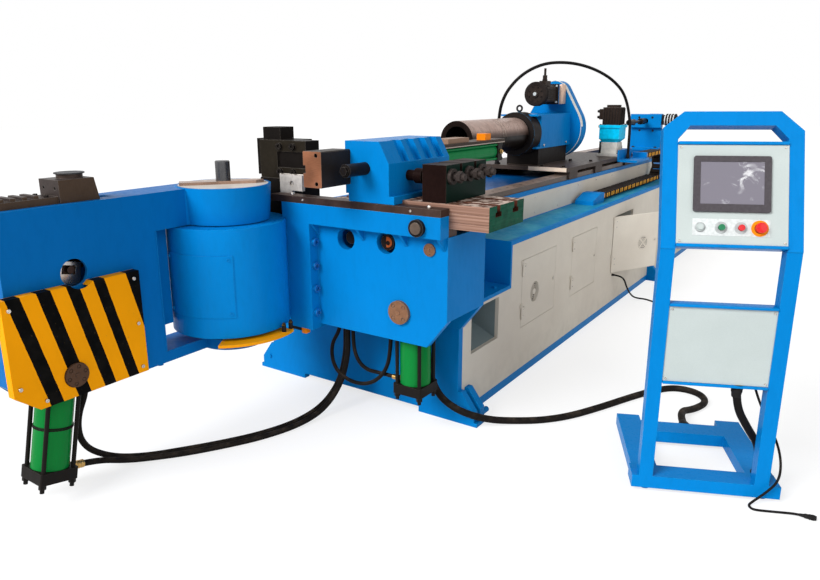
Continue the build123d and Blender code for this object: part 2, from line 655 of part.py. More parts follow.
# Striped guard plate on the outer side of the arm
guard_outline = [(-1135, 920), (-1715, 920), (-1715, 538), (-1624, 463), (-1135, 463)]
guard = prism_x(guard_outline, ARM_X1, ARM_X1 + GUARD_T)
guard_inside = [(-1150, 905), (-1700, 905), (-1700, 545), (-1618, 478), (-1150, 478)]
guard -= prism_x(guard_inside, ARM_X1 - 1, ARM_X1 + GUARD_T - 4)
guard -= cyl_x(ARM_X1 - 1, ARM_X1 + GUARD_T + 1, -1398, 958, 60)
guard -= cyl_x(ARM_X1 - 1, ARM_X1 + GUARD_T + 1, CLAMP_TRUNNION[0], CLAMP_TRUNNION[1], 52)
add("arm_guard", guard)


def tie_rod_barrel(z0, z1):
    """Cylinder tube about Z."""
    return cyl_z(0, 0, z0, z1, CYL_R) - cyl_z(0, 0, z0, z1, CYL_BORE)


def tie_rod_caps(z0, z1, cap, trunnion, reach, ports):
    """Square end caps, tie rods, nuts, ports and a trunnion band with pins along X, about Z."""
    half = CYL_CAP / 2
    body = box(-half, half, -half, half, z0 - cap, z0) + box(-half, half, -half, half, z1, z1 + cap)
    body = fillet(body.edges().filter_by(Axis.Z), 8)
    body -= cyl_z(0, 0, z1 - 1, z1 + cap + 1, CYL_ROD + RUN_FIT)
    place = half - 16
    for sx in (-1, 1):
        for sy in (-1, 1):
            body += cyl_z(sx * place, sy * place, z0, z1, 9)
            body += Pos(sx * place, sy * place, z0 - cap - 18) * hexagon(15, 18)
            body += cyl_z(sx * place, sy * place, z0 - cap - 34, z0 - cap - 18, 9)
            body += Pos(sx * place, sy * place, z1 + cap) * hexagon(15, 18)
    band = cyl_z(0, 0, trunnion - 28, trunnion + 28, CYL_R + 5)
    band += cyl_x(-reach, -CYL_R, 0, trunnion, TRUNNION_R) + cyl_x(CYL_R, reach, 0, trunnion, TRUNNION_R)
    band -= cyl_z(0, 0, trunnion - 40, trunnion + 40, CYL_R)
    for z in ports:
        body += cyl_y(0, half, half + PORT_L, z, PORT_R)
    return body + band


def push_rod(z_piston, z_pin, slot_low, slot_high):
    """Piston, rod and slotted fork about Z, with the fork's pin hole along X."""
    body = cyl_z(0, 0, z_piston - 40, z_piston, CYL_BORE - RUN_FIT)
    body += cyl_z(0, 0, z_piston, z_pin - 60, CYL_ROD)
    ear_in = LEVER_T / 2 + 3
    ear_out = ear_in + 18
    fork = box(-ear_out, ear_out, -46, 46, z_pin - 84, z_pin + 34)
    fork -= box(-ear_in, ear_in, -47, 47, z_pin - 44, z_pin + 35)
    slot = box(-ear_out - 1, ear_out + 1, slot_low, slot_high, z_pin - 18.5, z_pin + 18.5)
    return body + fork - slot


def lever(pivot, pin, tip, pivot_r):
    """Bell crank in a plane: points are (a, b), thickness along the plane's normal, centred."""
    def bar(p, q, w):
        dx = q[0] - p[0]
        dy = q[1] - p[1]
        n = math.hypot(dx, dy)
        ox = -dy / n * w
        oy = dx / n * w
        return extrude(
            Polygon(
                (p[0] + ox, p[1] + oy), (p[0] - ox, p[1] - oy), (q[0] - ox * 0.45, q[1] - oy * 0.45),
                (q[0] + ox * 0.45, q[1] + oy * 0.45), align=None,
            ),
            LEVER_T / 2, both=True,
        )
    body = bar(pivot, pin, 22) + bar(pivot, tip, 20)
    body += Pos(*pivot) * Cylinder(44, LEVER_T)
    body += Pos(*pin) * Cylinder(25, LEVER_T)
    body += Pos(*tip) * Cylinder(19, LEVER_T)
    body += Pos(*pin) * Cylinder(15, LEVER_T + 52)
    body -= Pos(*pivot) * Cylinder(pivot_r + RUN_FIT, LEVER_T + 60)
    return body


# Clamp cylinder, rod, lever and sliding clamp block in the arm
clamp_axis = Pos(CLAMP_X, CLAMP_TRUNNION[0], CLAMP_TRUNNION[1]) * Rot(-CLAMP_TILT, 0, 0)
clamp_reach = (ARM_X1 - ARM_X0) / 2
add("clamp_cylinder_tube", clamp_axis * tie_rod_barrel(-420, 40))
clamp_caps = clamp_axis * tie_rod_caps(-420, 40, 50, 0, clamp_reach, (CLAMP_LOW_PORT, 65))
clamp_caps += Pos(ARM_X1, CLAMP_TRUNNION[0], CLAMP_TRUNNION[1]) * TO_PLUS_X * pin_flange(50, GUARD_T + 8, 6)
elbow_half = PORT_R + 3
elbow = box(
    CLAMP_X - elbow_half, CLAMP_X + elbow_half, ELBOW[0] - 22, ELBOW[0] + elbow_half,
    ELBOW[1] + 20, ELBOW[1] + 62,
)
elbow += cyl_z(CLAMP_X, ELBOW[0], ELBOW[1], ELBOW[1] + 21, PORT_R)
add("clamp_cylinder_caps", clamp_caps + elbow)
pin_s = (CLAMP_PIN[1] - CLAMP_TRUNNION[1]) / math.cos(math.radians(CLAMP_TILT))
add("clamp_rod", clamp_axis * push_rod(-20, pin_s, -36, 22))
add("clamp_lever", Pos(CLAMP_X, 0, 0) * Plane.YZ.location * lever(CLAMP_PIVOT, CLAMP_PIN, CLAMP_TIP, 20))
base_y, rear_y, front_y = BLOCK_Y
block_low = ARM_TOP + SLIDE_GAP
block_outline = [(rear_y, block_low), (front_y, block_low), (front_y - 18, BLOCK_TOP), (rear_y, BLOCK_TOP)]
clamp_block = prism_x(block_outline, CLAMP_X - 70, CLAMP_X + 70)
clamp_block += box(CLAMP_X - 60, CLAMP_X + 60, base_y, rear_y, block_low, 1260)
for i in range(4):
    rib_y = base_y + 15 + i * 44
    clamp_block += box(CLAMP_X - 52, CLAMP_X + 52, rib_y, rib_y + 20, 1260, 1272)
clamp_block += cyl_z(CLAMP_X, BLOCK_CAP_Y, BLOCK_TOP, BLOCK_TOP + 17, 50)
clamp_block += cyl_z(CLAMP_X, BLOCK_CAP_Y, BLOCK_TOP + 17, BLOCK_TOP + 22, 58)
foot_top = ARM_TOP - ARM_TOP_T - SLIDE_GAP
clamp_block += box(CLAMP_X - 25, CLAMP_X + 25, -1356, -1256, foot_top - 1, ARM_TOP + 2)
clamp_block += box(CLAMP_X - 50, CLAMP_X + 50, -1356, -1224, foot_top - 26, foot_top)
tip_pocket = LEVER_T / 2 + 2
tip_y = CLAMP_TIP[0]
clamp_block -= box(CLAMP_X - tip_pocket, CLAMP_X + tip_pocket, tip_y - 21, tip_y + 21, 1100, 1228)
for x in (-40, 40):
    clamp_block -= cyl_y(CLAMP_X + x, rear_y - 1, rear_y + 12, 1290, 8)
add("clamp_block", clamp_block)

# Pressure cylinder, rod and lever in the head
press_axis = Pos(PRESS_X, PRESS_Y, PRESS_TRUNNION_Z) * Rot(0, 0, 90)
tube_z0 = 278 - PRESS_TRUNNION_Z
add("pressure_cylinder_tube", press_axis * tie_rod_barrel(tube_z0, 32))
press_caps = press_axis * tie_rod_caps(tube_z0, 32, 50, 0, CYL_R + 10, (tube_z0 - 5,))
press_caps += cyl_y(PRESS_X, FACE_Y + WALL, PRESS_Y - CYL_R - 5, PRESS_TRUNNION_Z, 22)
press_caps += cyl_y(PRESS_X, PRESS_Y + CYL_R + 5, -WALL, PRESS_TRUNNION_Z, 22)
add("pressure_cylinder_caps", press_caps)
add("pressure_rod", press_axis * push_rod(-50, PRESS_PIN[1] - PRESS_TRUNNION_Z, -30, 24))
add("pressure_lever", Pos(0, PRESS_Y, 0) * Plane.XZ.location * lever(PRESS_PIVOT, PRESS_PIN, PRESS_TIP, 24))

# Pressure die slide: T-slotted saddle, angled block, die plate, adjuster and booster cylinder
sx0, sx1, sy0, sy1, sz0, sz1 = SADDLE
saddle = box(sx0, sx1, sy0, sy1, sz0 + SLIDE_GAP, sz1)
saddle -= box(sx0 - 1, 330, sy0 - 1, sy1 + 1, 1168, sz1 + 1)
for y in (-250, -84):
    saddle -= box(sx0 - 1, sx1 + 1, y - 15, y + 15, 1158, sz1 + 1)
    saddle -= box(sx0 - 1, sx1 + 1, y - 28, y + 28, 1140, 1160)
saddle -= box(PRESS_TIP[0] - 21, PRESS_TIP[0] + 21, PRESS_Y - 23, PRESS_Y + 23, sz0, 1132)
saddle -= box(PRESS_TIP[0] - 38, PRESS_TIP[0] + 38, PRESS_Y - 23, PRESS_Y + 23, sz0, 1096)
for z in (1110, 1150):
    saddle -= box(sx0 - 1, sx1 + 1, sy0 - 1, sy0 + 2, z, z + 2)
add("t_slot_saddle", saddle)
block = prism_y([(275, 1209), (515, 1209), (515, 1350), (463, 1444), (275, 1444)], LEDGE_Y + 1, 110)
block += box(291, 542, LEDGE_Y + 1, 110, sz1, 1209)
block += box(291, 542, LEDGE_Y + 1, -340, TOP_PLATE_Z1 + 2, sz1)
for i in range(4):
    y = -300 + i * 100
    pocket = [(488, 1345), (505, 1345), (560, 1400), (540, 1470), (420, 1470), (436, 1440)]
    block -= prism_y(pocket, y, y + 62)
block -= cyl_y(BOOST_X, LEDGE_Y, 111, BOOST_Z, BOOST_R + RUN_FIT)
add("pressure_block", block)
plate = box(201, 304, -605, LEDGE_Y + 1, 1251, 1407)
plate = chamfer(plate.edges().filter_by(Axis.Y), 4)
for z in (1268, 1390):
    plate -= cyl_y(275, -606, -590, z, 9)
plate -= box(200, 214, -606, LEDGE_Y + 2, 1312, 1346)
add("pressure_plate", plate)
adjuster = box(640, 760, -330, 30, sz1, 1350)
adjuster -= box(639, 761, -215, -195, 1300, 1351)
adjuster -= box(639, 761, -85, -65, 1300, 1351)
for y in (-290, -140, -20):
    adjuster += cyl_x(760, 776, y, 1300, 34) - cyl_x(759, 777, y, 1300, 20)
    adjuster += cyl_x(760, 830, y, 1300, 15)
    adjuster += Pos(796, y, 1300) * TO_PLUS_X * hexagon(26, 18)
for y in (-250, -100, 0):
    adjuster += cyl_x(515, 640, y, 1290, 24)
    adjuster += cyl_x(560, 600, y, 1290, 34)
add("adjuster_block", adjuster)
boost_y0, boost_y1 = BOOST_Y
tube_y0 = boost_y0 + 50
tube_y1 = boost_y1 - 50
booster = cyl_y(BOOST_X, tube_y0, tube_y1, BOOST_Z, BOOST_TUBE_R)
booster -= cyl_y(BOOST_X, tube_y0, tube_y1, BOOST_Z, BOOST_BORE)
for y0, y1 in ((boost_y0, tube_y0), (tube_y1, boost_y1)):
    booster += box(BOOST_X - BOOST_CAP, BOOST_X + BOOST_CAP, y0, y1, BOOST_Z - BOOST_CAP, BOOST_Z + BOOST_CAP)
booster -= cyl_y(BOOST_X, boost_y0 - 1, tube_y0 + 1, BOOST_Z, BOOST_R + RUN_FIT)
rod_out = BOOST_CAP - 12
for sx in (-1, 1):
    for sz in (-1, 1):
        booster += cyl_y(BOOST_X + sx * rod_out, tube_y0, tube_y1, BOOST_Z + sz * rod_out, 7)
        nut = Pos(BOOST_X + sx * rod_out, boost_y1, BOOST_Z + sz * rod_out) * Rot(-90, 0, 0) * hexagon(11, 14)
        booster += nut
guide_z = BOOST_Z + BOOST_CAP
booster += box(BOOST_X - 50, BOOST_X + 58, boost_y0, boost_y1 + 20, guide_z, guide_z + 20)
booster += box(BOOST_X - 46, BOOST_X + 40, 250, 470, guide_z + 20, guide_z + 44)
booster += box(BOOST_X - 5, BOOST_X + 50, 640, 705, guide_z + 20, guide_z + 56)
booster += cyl_y(BOOST_X + 6, boost_y1, boost_y1 + 58, BOOST_Z - 12, 17)
add("booster_cylinder", booster)
boost_rod = cyl_y(BOOST_X, -545, 340, BOOST_Z, BOOST_R)
boost_rod += cyl_y(BOOST_X, 300, 340, BOOST_Z, BOOST_BORE - RUN_FIT)
boost_rod += Pos(BOOST_X, -545, BOOST_Z) * TO_MINUS_Y * hexagon(20, 15)
add("booster_rod", boost_rod)

# Wiper die holder on the drum carrier
top = DRUM_Z1 - 20
wiper = box(-377, -149, -300, -100, top, 1235)
wiper += box(-502, -182, -190, -110, 1235, 1425)
wiper += box(-380, -66, -290, -190, 1235, 1425)
wiper += box(-392, -271, -250, -150, 1425, 1488)
wiper -= box(-260, -63, -291, -280, 1290, 1370)
for x in (-240, -150):
    for z in (1268, 1395):
        wiper += Pos(x, -290, z) * TO_MINUS_Y * cap_screw(17, 14)
insert = box(-230, -80, -310, -290, 1180, 1258)
insert += box(-230, -149, -310, -300, 1140, 1180)
insert -= cyl_y(-150, -311, -289, 1215, 14)
add("wiper_holder", wiper + insert)

# Feed carriage
plate_x1 = PLATE_XY[1]
bracket_x1, bracket_y0, bracket_y1 = BRACKET
carriage = box(*PLATE_XY, PLATE_Z0, PLATE_Z1)
carriage -= cyl_z(FEED_X, FEED_Y, PLATE_Z0 - 1, PLATE_Z1 + 1, 40)
for side in (-1, 1):
    for y in (2040, 2600, 3380):
        x0, x1 = sorted((side * (WAY_IN + 6), side * (WAY_OUT + 13)))
        carriage += box(x0, x1, y, y + 160, WAY_Z + SLIDE_GAP, PLATE_Z0)
        x0, x1 = sorted((side * (WAY_OUT + 1), side * (WAY_OUT + 13)))
        carriage += box(x0, x1, y, y + 160, BEAM_TOP + 4, WAY_Z + 1)
carriage += box(-130, 130, 2100, 2660, PLATE_Z1, HOUSING[2])
carriage += box(plate_x1, bracket_x1, bracket_y0, bracket_y1, PLATE_Z0 - 10, PLATE_Z0 + 10)
carriage += box(plate_x1, plate_x1 + 15, bracket_y0, bracket_y1, PLATE_Z0 + 10, PLATE_Z0 + 90)
carriage += box(CHAIN_X[0] - 8, CHAIN_X[1] + 8, CHAIN_END - 10, CHAIN_END + 20, PLATE_Z0 + 10, CHAIN_UP + 29)
add("carriage_plate", carriage)

hy0, hy1, hz0, hz1 = HOUSING
housing = box(-150, 150, hy0, hy1, hz0, hz1)
lip = hy0 - HOUSING_LIP
housing += box(-150, 150, lip, hy0, hz1 - 13, hz1) + box(-150, 150, lip, hy0, hz0, hz0 + 13)
housing += cyl_y(0, BEARING_Y0, hy0, TUBE_Z, BEARING_R)
housing -= cyl_y(0, BEARING_Y0 - 1, hy1 + 1, TUBE_Z, JOURNAL_R + RUN_FIT)
eye_z = TUBE_Z + BEARING_R
housing += Pos(0, lip, eye_z + 26) * Rot(90, 0, 0) * Torus(20, 7) + cyl_z(0, lip, eye_z - 4, eye_z + 8, 13)
add("spindle_housing", housing)


def teardrop(r0, z0, r1, z1):
    """Belt cover outline round two centres on X = 0."""
    lean = math.acos((r0 - r1) / (z1 - z0))
    points = []
    for i in range(25):
        a = math.pi / 2 - lean + (lean * 2) * i / 24
        points.append((r1 * math.cos(a), z1 + r1 * math.sin(a)))
    for i in range(41):
        a = math.pi / 2 + lean + (2 * math.pi - 2 * lean) * i / 40
        points.append((r0 * math.cos(a), z0 + r0 * math.sin(a)))
    return points


cover = prism_y(teardrop(240, 1382, 105, SERVO_Z), hy1, COVER_Y1)
cover -= prism_y(teardrop(228, 1382, 93, SERVO_Z), hy1 + 12, COVER_Y1 - 12)
cover -= cyl_y(0, hy1 - 1, COVER_Y1 + 1, TUBE_Z, 45)
cover -= cyl_y(0, hy1 - 1, hy1 + 13, TUBE_Z, JOURNAL_R + 1)
cover = fillet(cover.edges().group_by(Axis.Y)[-1].filter_by(GeomType.CIRCLE, reverse=True), 3)
add("belt_cover", cover)

chuck = cyl_y(0, CHUCK_Y0, SHOULDER_Y, TUBE_Z, CHUCK_R) + cyl_y(0, SHOULDER_Y, hy1 + 20, TUBE_Z, JOURNAL_R)
chuck -= cyl_y(0, CHUCK_Y0 - 1, 1700, TUBE_Z, CHUCK_BORE)
chuck -= cyl_y(0, 1690, hy1 + 21, TUBE_Z, 40)
for y in (1520, 1556):
    chuck -= cyl_y(0, y, y + 8, TUBE_Z, CHUCK_R + 1) - cyl_y(0, y, y + 8, TUBE_Z, CHUCK_R - 2)
jaw_y0 = CHUCK_Y0 + JAW_IN
jaw_ring = cyl_y(0, jaw_y0, jaw_y0 + JAW_L, TUBE_Z, CHUCK_BORE)
jaw_ring -= cyl_y(0, jaw_y0 - 1, jaw_y0 + JAW_L + 1, TUBE_Z, COLLET_R)
for i in range(3):
    slot = Rot(0, 120 * i, 0) * Pos(0, 0, 70) * Box(5, JAW_L + 2, 34)
    jaw_ring -= Pos(0, jaw_y0 + JAW_L / 2, TUBE_Z) * slot
chuck += jaw_ring
chuck += cyl_y(0, hy1 + 20, hy1 + 90, TUBE_Z, 96) - cyl_y(0, hy1 + 19, hy1 + 91, TUBE_Z, 40)
add("chuck_spindle", chuck)

servo = box(-65, 65, 2330, 2570, SERVO_Z - 65, SERVO_Z + 65)
servo = fillet(servo.edges().filter_by(Axis.Y), 24)
servo += cyl_y(0, 2290, 2330, SERVO_Z, 66) + cyl_y(0, 2278, 2290, SERVO_Z, 26)
servo += box(-74, 74, 2570, 2590, SERVO_Z - 78, SERVO_Z + 74)
servo += cyl_y(0, 2590, hy1, SERVO_Z, 46)
servo += box(8, 64, 2340, 2430, SERVO_Z + 60, SERVO_Z + 98)
servo += cyl_z(36, 2380, SERVO_Z + 98, SERVO_Z + 140, 17) + cyl_z(36, 2380, SERVO_Z + 140, SERVO_Z + 192, 9)
add("spin_servo", servo)

feed = box(FEED_X - 70, FEED_X + 70, FEED_Y - 70, FEED_Y + 70, PLATE_Z1, GEARBOX_Z0)
feed += box(FEED_X - 95, FEED_X + 95, FEED_Y - 95, FEED_Y + 95, PLATE_Z1, PLATE_Z1 + 22)
feed += box(FEED_X - 90, FEED_X - 70, FEED_Y - 60, FEED_Y + 60, PLATE_Z1 + 22, GEARBOX_Z0 + 10)
feed -= cyl_z(FEED_X, FEED_Y, PLATE_Z1 - 1, GEARBOX_Z0 - 7, 14 + RUN_FIT)
gearbox = box(FEED_X - 88, FEED_X + 88, FEED_Y - 88, FEED_Y + 88, GEARBOX_Z0, GEARBOX_Z1 - 24)
gearbox = chamfer(gearbox.faces().sort_by(Axis.Z)[0].edges(), 30)
gearbox += box(FEED_X - 98, FEED_X + 98, FEED_Y - 98, FEED_Y + 98, GEARBOX_Z1 - 24, GEARBOX_Z1)
motor_top = GEARBOX_Z1 + 149
motor = box(FEED_X - 75, FEED_X + 75, FEED_Y - 75, FEED_Y + 75, GEARBOX_Z1, motor_top)
motor = fillet(motor.edges().filter_by(Axis.Z), 16)
motor += cyl_z(FEED_X, FEED_Y, motor_top, motor_top + 20, 60)
motor += box(FEED_X - 115, FEED_X - 75, FEED_Y - 30, FEED_Y + 30, motor_top - 105, motor_top - 15)
add("feed_servo", feed + gearbox + motor)

# Drag chain: band with links, from the fixed block to the carriage bracket
loop_z = (CHAIN_LOW + CHAIN_UP) / 2
loop_r = (CHAIN_UP - CHAIN_LOW) / 2
band = box(CHAIN_X[0] + 8, CHAIN_X[1] - 8, CHAIN_START, CHAIN_LOOP_Y, CHAIN_LOW - 17, CHAIN_LOW + 17)
band += box(CHAIN_X[0] + 8, CHAIN_X[1] - 8, CHAIN_END + 20, CHAIN_LOOP_Y, CHAIN_UP - 17, CHAIN_UP + 17)
ring = cyl_x(CHAIN_X[0] + 8, CHAIN_X[1] - 8, CHAIN_LOOP_Y, loop_z, loop_r + 17)
ring -= cyl_x(CHAIN_X[0], CHAIN_X[1], CHAIN_LOOP_Y, loop_z, loop_r - 17)
band += ring & box(CHAIN_X[0], CHAIN_X[1], CHAIN_LOOP_Y, CHAIN_LOOP_Y + 200, 0, 2000)
link = Box(CHAIN_X[1] - CHAIN_X[0], CHAIN_PITCH - 10, CHAIN_T)
link_x = (CHAIN_X[0] + CHAIN_X[1]) / 2
places = []
for i in range(int((CHAIN_LOOP_Y - CHAIN_START) / CHAIN_PITCH)):
    places.append(Pos(link_x, CHAIN_START + CHAIN_PITCH * (i + 0.5), CHAIN_LOW))
bends = int(math.pi * loop_r / CHAIN_PITCH)
for i in range(bends):
    a = 180 * (i + 0.5) / bends
    places.append(Pos(link_x, CHAIN_LOOP_Y, loop_z) * Rot(a, 0, 0) * Pos(0, 0, -loop_r))
for i in range(int((CHAIN_LOOP_Y - CHAIN_END - 20) / CHAIN_PITCH)):
    places.append(Pos(link_x, CHAIN_LOOP_Y - CHAIN_PITCH * (i + 0.5), CHAIN_UP))
chain = band + [place * link for place in places]
add("drag_chain", chain)

# Mandrel stand at the rear of the bed
stand = box(-172, 172, MANDREL_Y - 20, MANDREL_Y + 20, BEAM_TOP, MANDREL_TOP)
stand += box(-172, 172, MANDREL_Y - 70, MANDREL_Y - 20, MANDREL_TOP - 150, MANDREL_TOP)
stand += box(-172, 172, MANDREL_Y - 90, MANDREL_Y + 105, BEAM_TOP, BEAM_TOP + 28)
gusset = [(MANDREL_Y + 20, BEAM_TOP + 28), (MANDREL_Y + 100, BEAM_TOP + 28), (MANDREL_Y + 20, 1320)]
for x in (-150, 150):
    stand += prism_x(gusset, x - 9, x + 9)
for x in (-74, 74):
    for z in (MANDREL_TOP - 185, MANDREL_TOP - 38):
        stand -= cyl_y(x, MANDREL_Y - 71, MANDREL_Y + 21, z, 13)
stand -= cyl_y(0, MANDREL_Y - 71, MANDREL_Y + 21, TUBE_Z, 30)
mandrel = box(-72, 72, MANDREL_Y + 20, MANDREL_Y + 65, TUBE_Z - 72, TUBE_Z + 72)
mandrel += box(-72, 72, MANDREL_Y + 345, MANDREL_Y + 390, TUBE_Z - 72, TUBE_Z + 72)
mandrel += cyl_y(0, MANDREL_Y + 65, MANDREL_Y + 345, TUBE_Z, 60)
mandrel -= cyl_y(0, MANDREL_Y + 65, MANDREL_Y + 345, TUBE_Z, 50)
mandrel -= cyl_y(0, MANDREL_Y + 19, MANDREL_Y + 66, TUBE_Z, MANDREL_ROD_R + RUN_FIT)
for sx in (-1, 1):
    for sz in (-1, 1):
        mandrel += cyl_y(sx * 57, MANDREL_Y + 65, MANDREL_Y + 345, TUBE_Z + sz * 57, 7)
add("mandrel_stand", stand + mandrel)
rod = cyl_y(0, MANDREL_TIP, MANDREL_Y + 230, TUBE_Z, MANDREL_ROD_R)
rod += cyl_y(0, MANDREL_TIP, MANDREL_TIP + 130, TUBE_Z, 30)
rod -= cyl_y(0, MANDREL_TIP - 1, MANDREL_TIP + 60, TUBE_Z, 20)
rod += Pos(0, MANDREL_TIP + 130, TUBE_Z) * Rot(-90, 0, 0) * hexagon(36, 40)
rod += cyl_y(0, MANDREL_TIP + 420, MANDREL_TIP + 560, TUBE_Z, 34)
rod += cyl_y(0, MANDREL_Y + 200, MANDREL_Y + 230, TUBE_Z, 50 - RUN_FIT)
add("mandrel_rod", rod)

# Operator console
console = Pos(CONSOLE_POS[0], CONSOLE_POS[1], 0) * Rot(0, 0, CONSOLE_TURN)
tilt = console * Pos(0, 0, KINK_Z) * Rot(-TILT, 0, 0)
stand = box(-23, 562, 0, 100, 20, 75) + box(-15, 92, 100, BASE_D, 20, 75) + box(450, 560, 100, BASE_D, 20, 75)
stand += box(92, 450, 430, 540, 20, 75)
for u in (40, 505):
    for v in (50, BASE_D - 50):
        stand += cyl_z(u, v, 0, 20, 22)
right_u = CONSOLE_W - POST_W
stand += box(5, 5 + POST_W, 0, POST_W, 75, KINK_Z) + box(right_u, CONSOLE_W, 0, POST_W, 75, KINK_Z)
upper = [(5, -8), (5, 471), (81, TILT_LEN), (432, TILT_LEN), (CONSOLE_W, 458), (CONSOLE_W, -8)]
inner = [(5 + POST_W, -20), (5 + POST_W, 425), (104, 478), (413, 478), (right_u, 426), (right_u, -20)]
rail = prism_y(upper, 0, POST_W) - prism_y(inner, -1, POST_W + 1)
stand += Pos(0, 0, KINK_Z) * Rot(-TILT, 0, 0) * rail
stand = console * stand
add("console_frame", stand)
add("console_lower_panel", console * box(5 + POST_W, right_u, 4, 44, 509, 825))
face = box(5 + POST_W, right_u, -4, 80, 14, 400)
for name in ("start", "stop", "estop"):
    face -= cyl_y(BUTTONS[name], -5, 60, BUTTON_ROW, BUTTON_R + RUN_FIT)
face += cyl_y(BUTTONS["lamp"], -16, -4, BUTTON_ROW, BUTTON_R)
face += cyl_y(BUTTONS["lamp"], -10, -4, BUTTON_ROW, 15)
add("console_panel", tilt * face)
hmi = box(118, 395, -14, -4, 138, 355)
hmi = fillet(hmi.edges().filter_by(Axis.Y), 8)
hmi -= box(142, 371, -15, -11, 168, 332)
add("hmi_bezel", tilt * hmi)
add("hmi_screen", tilt * box(142, 371, -12, -11, 168, 332))


def push_button(u, head_r, head_t):
    """Button in the tilted panel: collar, stem and cap."""
    body = cyl_y(u, -4 - head_t - 7, 40, BUTTON_ROW, BUTTON_R)
    body += cyl_y(u, -4 - head_t - 10, -4 - 10, BUTTON_ROW, head_r)
    return tilt * body


add("start_button", push_button(BUTTONS["start"], 12, 6))
add("stop_button", push_button(BUTTONS["stop"], 12, 6))
add("emergency_stop", push_button(BUTTONS["estop"], 20, 14))


# Hoses and cables: straight runs joined by tangent arcs
def cord_path(points):
    """Line of a cord along a route, with its bend radii, which follow from the runs."""
    steps = [Vector(*b) - Vector(*a) for a, b in zip(points, points[1:])]
    radii = []
    for p, q in zip(steps, steps[1:]):
        half_turn = math.radians(p.get_angle(q)) / 2
        radii.append(0.45 * min(p.length, q.length) / math.tan(half_turn))
    return FilletPolyline(*points, radius=radii), radii


def cord(points, r):
    """Round cord along a route."""
    path, radii = cord_path(points)
    solid = sweep(Plane(origin=path @ 0, z_dir=path % 0) * Circle(r), path=path)
    fill = solid.volume / (math.pi * r * r * path.length)
    bends = [round(v) for v in radii]
    print("cord r", r, "length", round(path.length), "fill", round(fill, 4), "radii", bends)
    return solid


def by_console(points):
    """Points of the console's own frame in the machine frame."""
    return [tuple((console * Pos(*p)).position) for p in points]


port_end = CYL_CAP / 2 + PORT_L
low_start = [tuple((clamp_axis * Pos(0, port_end + reach, CLAMP_LOW_PORT)).position) for reach in (0, 120)]
add("arm_hoses", cord(low_start + CLAMP_LOW_ROUTE, HOSE_R) + cord(CLAMP_HIGH_ROUTE, HOSE_R))
add("head_hoses", cord(PRESS_LOW_ROUTE, THIN_HOSE_R) + cord(PRESS_HIGH_ROUTE, THIN_HOSE_R))
add("console_conduit", cord(CONDUIT_ROUTE + by_console(CONDUIT_END), CONDUIT_R))
add("console_cable", cord(by_console(CABLE_ROUTE), CABLE_R))


def coil(centre):
    """Put-away coil: turns drawn in on the floor, half a turn up, turns let out, and a straight end."""
    flat = COIL_TURNS * 12
    points = []
    for i in range(2 * flat + 7):
        drawn = min(i, flat, 2 * flat + 6 - i)
        risen = min(max(i - flat, 0), 6) / 6
        r = COIL_R - COIL_STEP * drawn / 12
        a = math.radians(30 * i - 90)
        z = CABINET_R + FLOOR_GAP + COIL_STEP * risen
        points.append((centre[0] + r * math.cos(a), centre[1] + r * math.sin(a), z))
    end = points[-1]
    points.append((end[0] - 62, end[1] - 4, end[2]))
    return points


def coil_gap(route, r):
    """Least gap between neighbouring turns, measured on points along the cord."""
    path = cord_path(route)[0]
    count = int(path.length / 4)
    spots = [path @ (i / count) for i in range(count + 1)]
    apart = int(COIL_R * 2 / 4)
    least = min((a - b).length for i, a in enumerate(spots) for b in spots[i + apart:])
    return least - 2 * r


def plug(route, r):
    """Round connector on the end of a cord."""
    end = Plane(origin=route[-1], z_dir=Vector(*route[-1]) - Vector(*route[-2]))
    body = Pos(0, 0, PLUG_L / 2) * Cylinder(r + PLUG_WALL, PLUG_L)
    body += Pos(0, 0, PLUG_L * 0.6) * Cylinder(r + PLUG_WALL + 2, PLUG_L * 0.45)
    return end.location * body


lead_points = by_console(LEAD_ROUTE)
cabinet_points = CABINET_ROUTE + coil(CABINET_COIL)
add("console_lead", Compound(children=[cord(lead_points, LEAD_R), plug(lead_points, LEAD_R)]))
add("cabinet_cable", Compound(children=[cord(cabinet_points, CABINET_R), plug(cabinet_points, CABINET_R)]))
print("coil gap", round(coil_gap(cabinet_points, CABINET_R), 2))
add("carriage_cable", cord(ARCH_ROUTE, ARCH_R))

os.makedirs("parts", exist_ok=True)
shift = Pos(0, -BED_L / 2, 0)
for name, shape in nodes.items():
    export_step(shift * shape, "parts/" + name + ".step")
print(len(nodes), "nodes")
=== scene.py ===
import math
import random
from itertools import product

import bmesh
import bpy
from mathutils import Matrix, Vector


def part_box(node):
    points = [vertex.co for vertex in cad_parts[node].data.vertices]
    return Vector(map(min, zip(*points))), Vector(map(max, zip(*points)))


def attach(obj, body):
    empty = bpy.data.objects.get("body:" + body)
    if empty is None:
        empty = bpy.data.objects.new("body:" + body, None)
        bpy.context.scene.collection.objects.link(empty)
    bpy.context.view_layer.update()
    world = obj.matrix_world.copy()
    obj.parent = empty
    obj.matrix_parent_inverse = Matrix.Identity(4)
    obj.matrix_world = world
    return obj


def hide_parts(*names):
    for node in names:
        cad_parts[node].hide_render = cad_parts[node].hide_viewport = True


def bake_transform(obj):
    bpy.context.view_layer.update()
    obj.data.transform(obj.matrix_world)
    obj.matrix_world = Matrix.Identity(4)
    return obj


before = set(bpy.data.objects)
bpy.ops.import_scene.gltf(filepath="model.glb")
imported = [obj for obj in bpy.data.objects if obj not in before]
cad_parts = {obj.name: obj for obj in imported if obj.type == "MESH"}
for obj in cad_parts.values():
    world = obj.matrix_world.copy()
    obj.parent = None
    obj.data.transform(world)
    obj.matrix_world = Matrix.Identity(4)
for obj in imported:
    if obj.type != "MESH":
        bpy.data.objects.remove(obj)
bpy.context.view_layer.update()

# Places are in millimetres from the front of the bed, as in the part's source, and become metres in at()
MM = 0.001
BED_HALF = 2850
